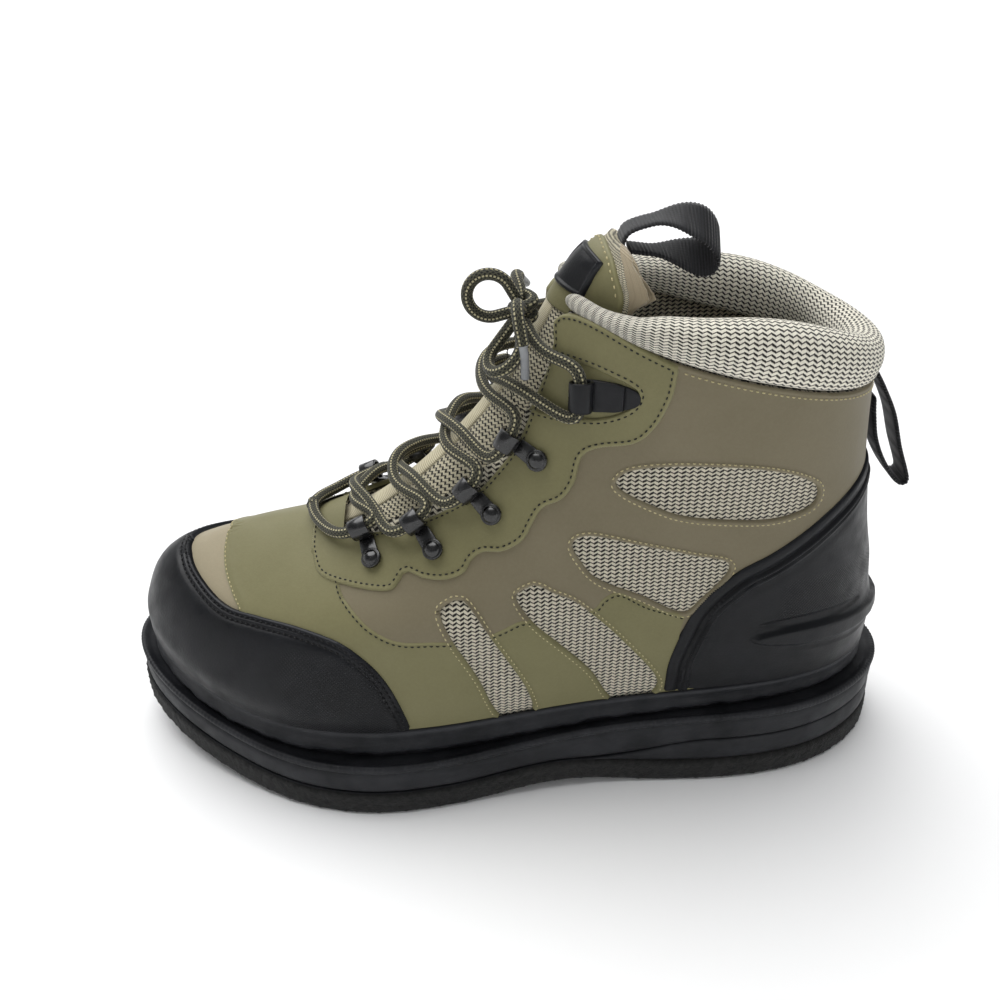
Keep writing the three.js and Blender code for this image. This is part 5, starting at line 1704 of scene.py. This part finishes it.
def make_tongue():
    """Knit front with a satin lining that bulges in two folds round the sides of the top"""
    levels = np.concatenate([np.linspace(0.43, 0.95, 52), np.linspace(0.95, 1.22, 50)[1:]])
    columns = 41
    across = np.sin(np.linspace(-1, 1, columns) * np.pi / 2)
    steps = np.linspace(0, 1, 15)[1:-1]
    folds = np.abs(np.sin(2 * np.pi * steps)) ** 0.5
    rows, uv = [], []
    around = 2 * (columns + len(steps))
    for level in levels:
        swell = tongue_row(level)[3]
        thick = mix(TONGUE_THICK, TONGUE_TOP_THICK, swell)
        thin = mix(0.55, 0.2, float(smooth((level - 1.05) / 0.08)))
        back = thick * (1 - thin * np.abs(across) ** 4)
        front_points = tongue_front(level, across)
        back_points = tongue_front(level, across, back)
        bulge = 4.2 * float(smooth((level - 1.02) / 0.1))
        sides = []
        for last, inner, more in ((-1, -3, 1.7), (0, 2, 1)):
            aside = unit(front_points[last] - front_points[inner])
            edge = mix(front_points[last], back_points[last], steps[:, None])
            sides.append(edge + aside * (more * bulge * folds)[:, None])
        rows.append(np.vstack([front_points, sides[0], back_points[::-1], sides[1][::-1]]))
        half = TONGUE_WIDTH / 2
        back_uv = half + thick + across[::-1] * -half + half
        round_ = np.concatenate([across * half, half + steps * thick, back_uv, -half - steps[::-1] * thick])
        uv.append(np.column_stack([round_, np.full(around, (level - 0.43) * 170)]))
    middle = rows[-1].mean(0)
    rise = unit(rows[-1].mean(0) - rows[-3].mean(0))
    for share in (0.35, 0.65, 0.85, 0.97):
        narrow = (rows[len(levels) - 1] - middle) * math.sqrt(1 - share ** 2)
        rows.append(middle + narrow + rise * 3.2 * share)
        uv.append(uv[-1] + [0, 0.8])
    points = np.vstack(rows)
    faces = turned_out(points, loft_faces(len(rows), around))
    made = piece("tongue_pad", points, faces, TONGUE_KNIT, "tongue_knit", np.vstack(uv))
    made.data.materials.append(LINING)
    for polygon in made.data.polygons:
        first = min(v % around for v in polygon.vertices)
        if first >= columns - 1 and min(v // around for v in polygon.vertices) > 50:
            polygon.material_index = 1
    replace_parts(made, "tongue")


make_tongue()


LEVEL_HEIGHT = 165.0


def on_tongue(flat, height):
    """Places over the tongue's face, from millimetres across and levels times LEVEL_HEIGHT"""
    level = flat[:, 1] / LEVEL_HEIGHT
    width = tongue_row(level)[2] * TONGUE_WIDTH / 2
    return tongue_front(level, np.clip(flat[:, 0] / width, -1, 1), -height)


def tongue_sheet(name, outline, thick, material, slot, base=0.15, border=0.0, cell=1.0):
    """Sheet on the tongue's face inside an outline of (across in mm, level)"""
    scale = np.array([1.0, LEVEL_HEIGHT])
    outline = even(closed_line(curve(outline, 160, closed=True)[:-1] * scale), 200)[:-1]

    def edge_gap(flat):
        return np.linalg.norm(flat[:, None] - outline[None], axis=-1).min(1)

    picked = []
    for distance in (0.2, 0.5, 1.0, 1.6, 2.2, 3.0):
        run = unit(np.roll(outline, -1, 0) - np.roll(outline, 1, 0))
        for side in (1, -1):
            ring = outline + side * distance * np.stack([-run[:, 1], run[:, 0]], 1)
            ring = ring[inside(ring, outline)]
            if len(ring):
                picked.append(ring[edge_gap(ring) > 0.9 * distance])
    low, high = outline.min(0), outline.max(0)
    a, b = np.meshgrid(np.arange(low[0], high[0], cell), np.arange(low[1], high[1], cell))
    inner = np.stack([a.ravel(), b.ravel()], 1)
    inner = inner[inside(inner, outline)]
    picked.append(inner[edge_gap(inner) > 3.2])
    loops = [(i, (i + 1) % len(outline)) for i in range(len(outline))]
    flat, faces = filled(np.vstack([outline] + picked), loops, lambda middles: inside(middles, outline))
    gap = edge_gap(flat)
    height = base + thick * np.interp(gap, [0, 0.2, 0.6, 1.2], [-0.2, 0.6, 0.95, 1])
    if border:
        height -= border * smooth((gap - 1.5) / 0.5)
    points = on_tongue(flat, height)
    if (normals_of(points, faces) @ [1, 0, 0.6]).sum() < 0:
        faces = faces[:, ::-1]
    wear = np.exp(-((gap - 0.6) / 0.6) ** 2)
    return piece(name, points, faces, material, slot, flat, wear=wear)


PANEL_OUTLINE = [
    [-10, 1.0], [-12, 1.08], [-12, 1.14], [-9, 1.19], [-3, 1.212], [4, 1.214], [12, 1.202], [19, 1.18],
    [25, 1.14], [28.5, 1.09], [29.5, 1.03], [28, 0.99], [14, 0.98], [0, 0.98],
]
BADGE_OUTLINE = [
    [-7, 1.026], [-8.2, 1.045], [-8.6, 1.1], [-8.2, 1.152], [-7, 1.163], [4, 1.166], [14, 1.164], [16, 1.154],
    [16.6, 1.1], [16.2, 1.045], [15, 1.026], [4, 1.022],
]
TAPE_OUTLINE = [[-6, 0.46], [-6, 0.75], [-6, 0.98], [6, 0.98], [6, 0.75], [6, 0.46]]
tongue_sheet("tongue_top_panel", PANEL_OUTLINE, 1.2, OLIVE, "upper_leather", cell=1.8)
patch_piece = tongue_sheet("tongue_badge", BADGE_OUTLINE, 1.5, PATCH, "patch_rubber", base=1.2, border=0.7)
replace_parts(patch_piece, "tongue_patch")


def tongue_stitches(outline, inset, height, **options):
    line = curve(outline, 260, closed=True) * [1, LEVEL_HEIGHT]
    best = []
    for side in (1, -1):
        ring = line + side * inset * left_of(line)
        ring = ring[inside(ring, line[:-1])]
        if len(ring):
            gap = np.linalg.norm(ring[:, None] - line[None], axis=-1).min(1)
            best = max(best, ring[gap > 0.9 * inset], key=len)
    best = best[best[:, 1] > LEVEL_HEIGHT]
    place = on_tongue(best, height)
    normals = unit(place - on_tongue(best, height - 2))
    breaks = np.where(np.linalg.norm(np.diff(place, axis=0), axis=1) > 3)[0] + 1
    parts = []
    for run in np.split(np.arange(len(place)), breaks):
        if len(run) > 5:
            parts += stitch_row(place[run], normals[run], **options)
    return parts


panel_stitches = tongue_stitches(PANEL_OUTLINE, 2.2, 1.35, pitch=2.7, size=0.9)
stitched("tongue_stitches", panel_stitches, PALE_THREAD, "upper_leather")
tongue_sheet("tongue_tape", TAPE_OUTLINE, 0.5, TAPE, "tongue_knit", cell=1.5)

# Webbing loops


def strap(name, shares, reach, root, width, node, tilt=0.0):
    line = curve([[root[0] + a * reach, root[2] + b * reach] for a, b in shares], 420)
    out = left_of(line)
    far = along_line(line)
    weft = np.sin(far * 2 * math.pi / 1.45)
    across = np.linspace(-1, 1, 9)
    points, uv = [], []
    for i in range(len(line)):
        half = width / 2 * (1 + 0.022 * weft[i])
        thick = WEBBING / 2 * (1 + 0.14 * weft[i])
        lean = tilt * float(smooth((root[0] - line[i, 0] - 0.3 * reach) / (0.6 * reach)))
        for face in (1, -1):
            for share in across[:: 1 if face > 0 else -1]:
                lip = 1 - 0.45 * abs(share) ** 8
                a, b = line[i] + out[i] * face * thick * lip
                points.append((a, root[1] + share * half * math.cos(lean), b - share * half * math.sin(lean)))
                uv.append((share * half, far[i]))
    faces = grid_faces(len(line), 18, wrap_columns=True).tolist()
    for start in (0, (len(line) - 1) * 18):
        for i in range(8):
            ring = [start + i, start + i + 1, start + 16 - i, start + 17 - i]
            faces.append(ring if start else ring[::-1])
    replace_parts(piece(name, points, turned_out(points, faces), STRAP, "webbing", uv), node)


heel_root = last_point(1.0, 0.5) - [HEEL_STRIP_THICK + GAP + WEBBING, 0, 1]
strap("heel_webbing", HEEL_LOOP_LINE, HEEL_LOOP_DROP, heel_root, HEEL_LOOP_WIDTH, "heel_pull_loop")
tongue_root = tongue_front(1.22, 0.0) - [TONGUE_TOP_THICK / 3, 0, 2.6]
strap("tongue_webbing", TONGUE_LOOP_LINE, TONGUE_LOOP_REACH, tongue_root, TONGUE_LOOP_WIDTH,
      "tongue_pull_loop", tilt=math.radians(52))
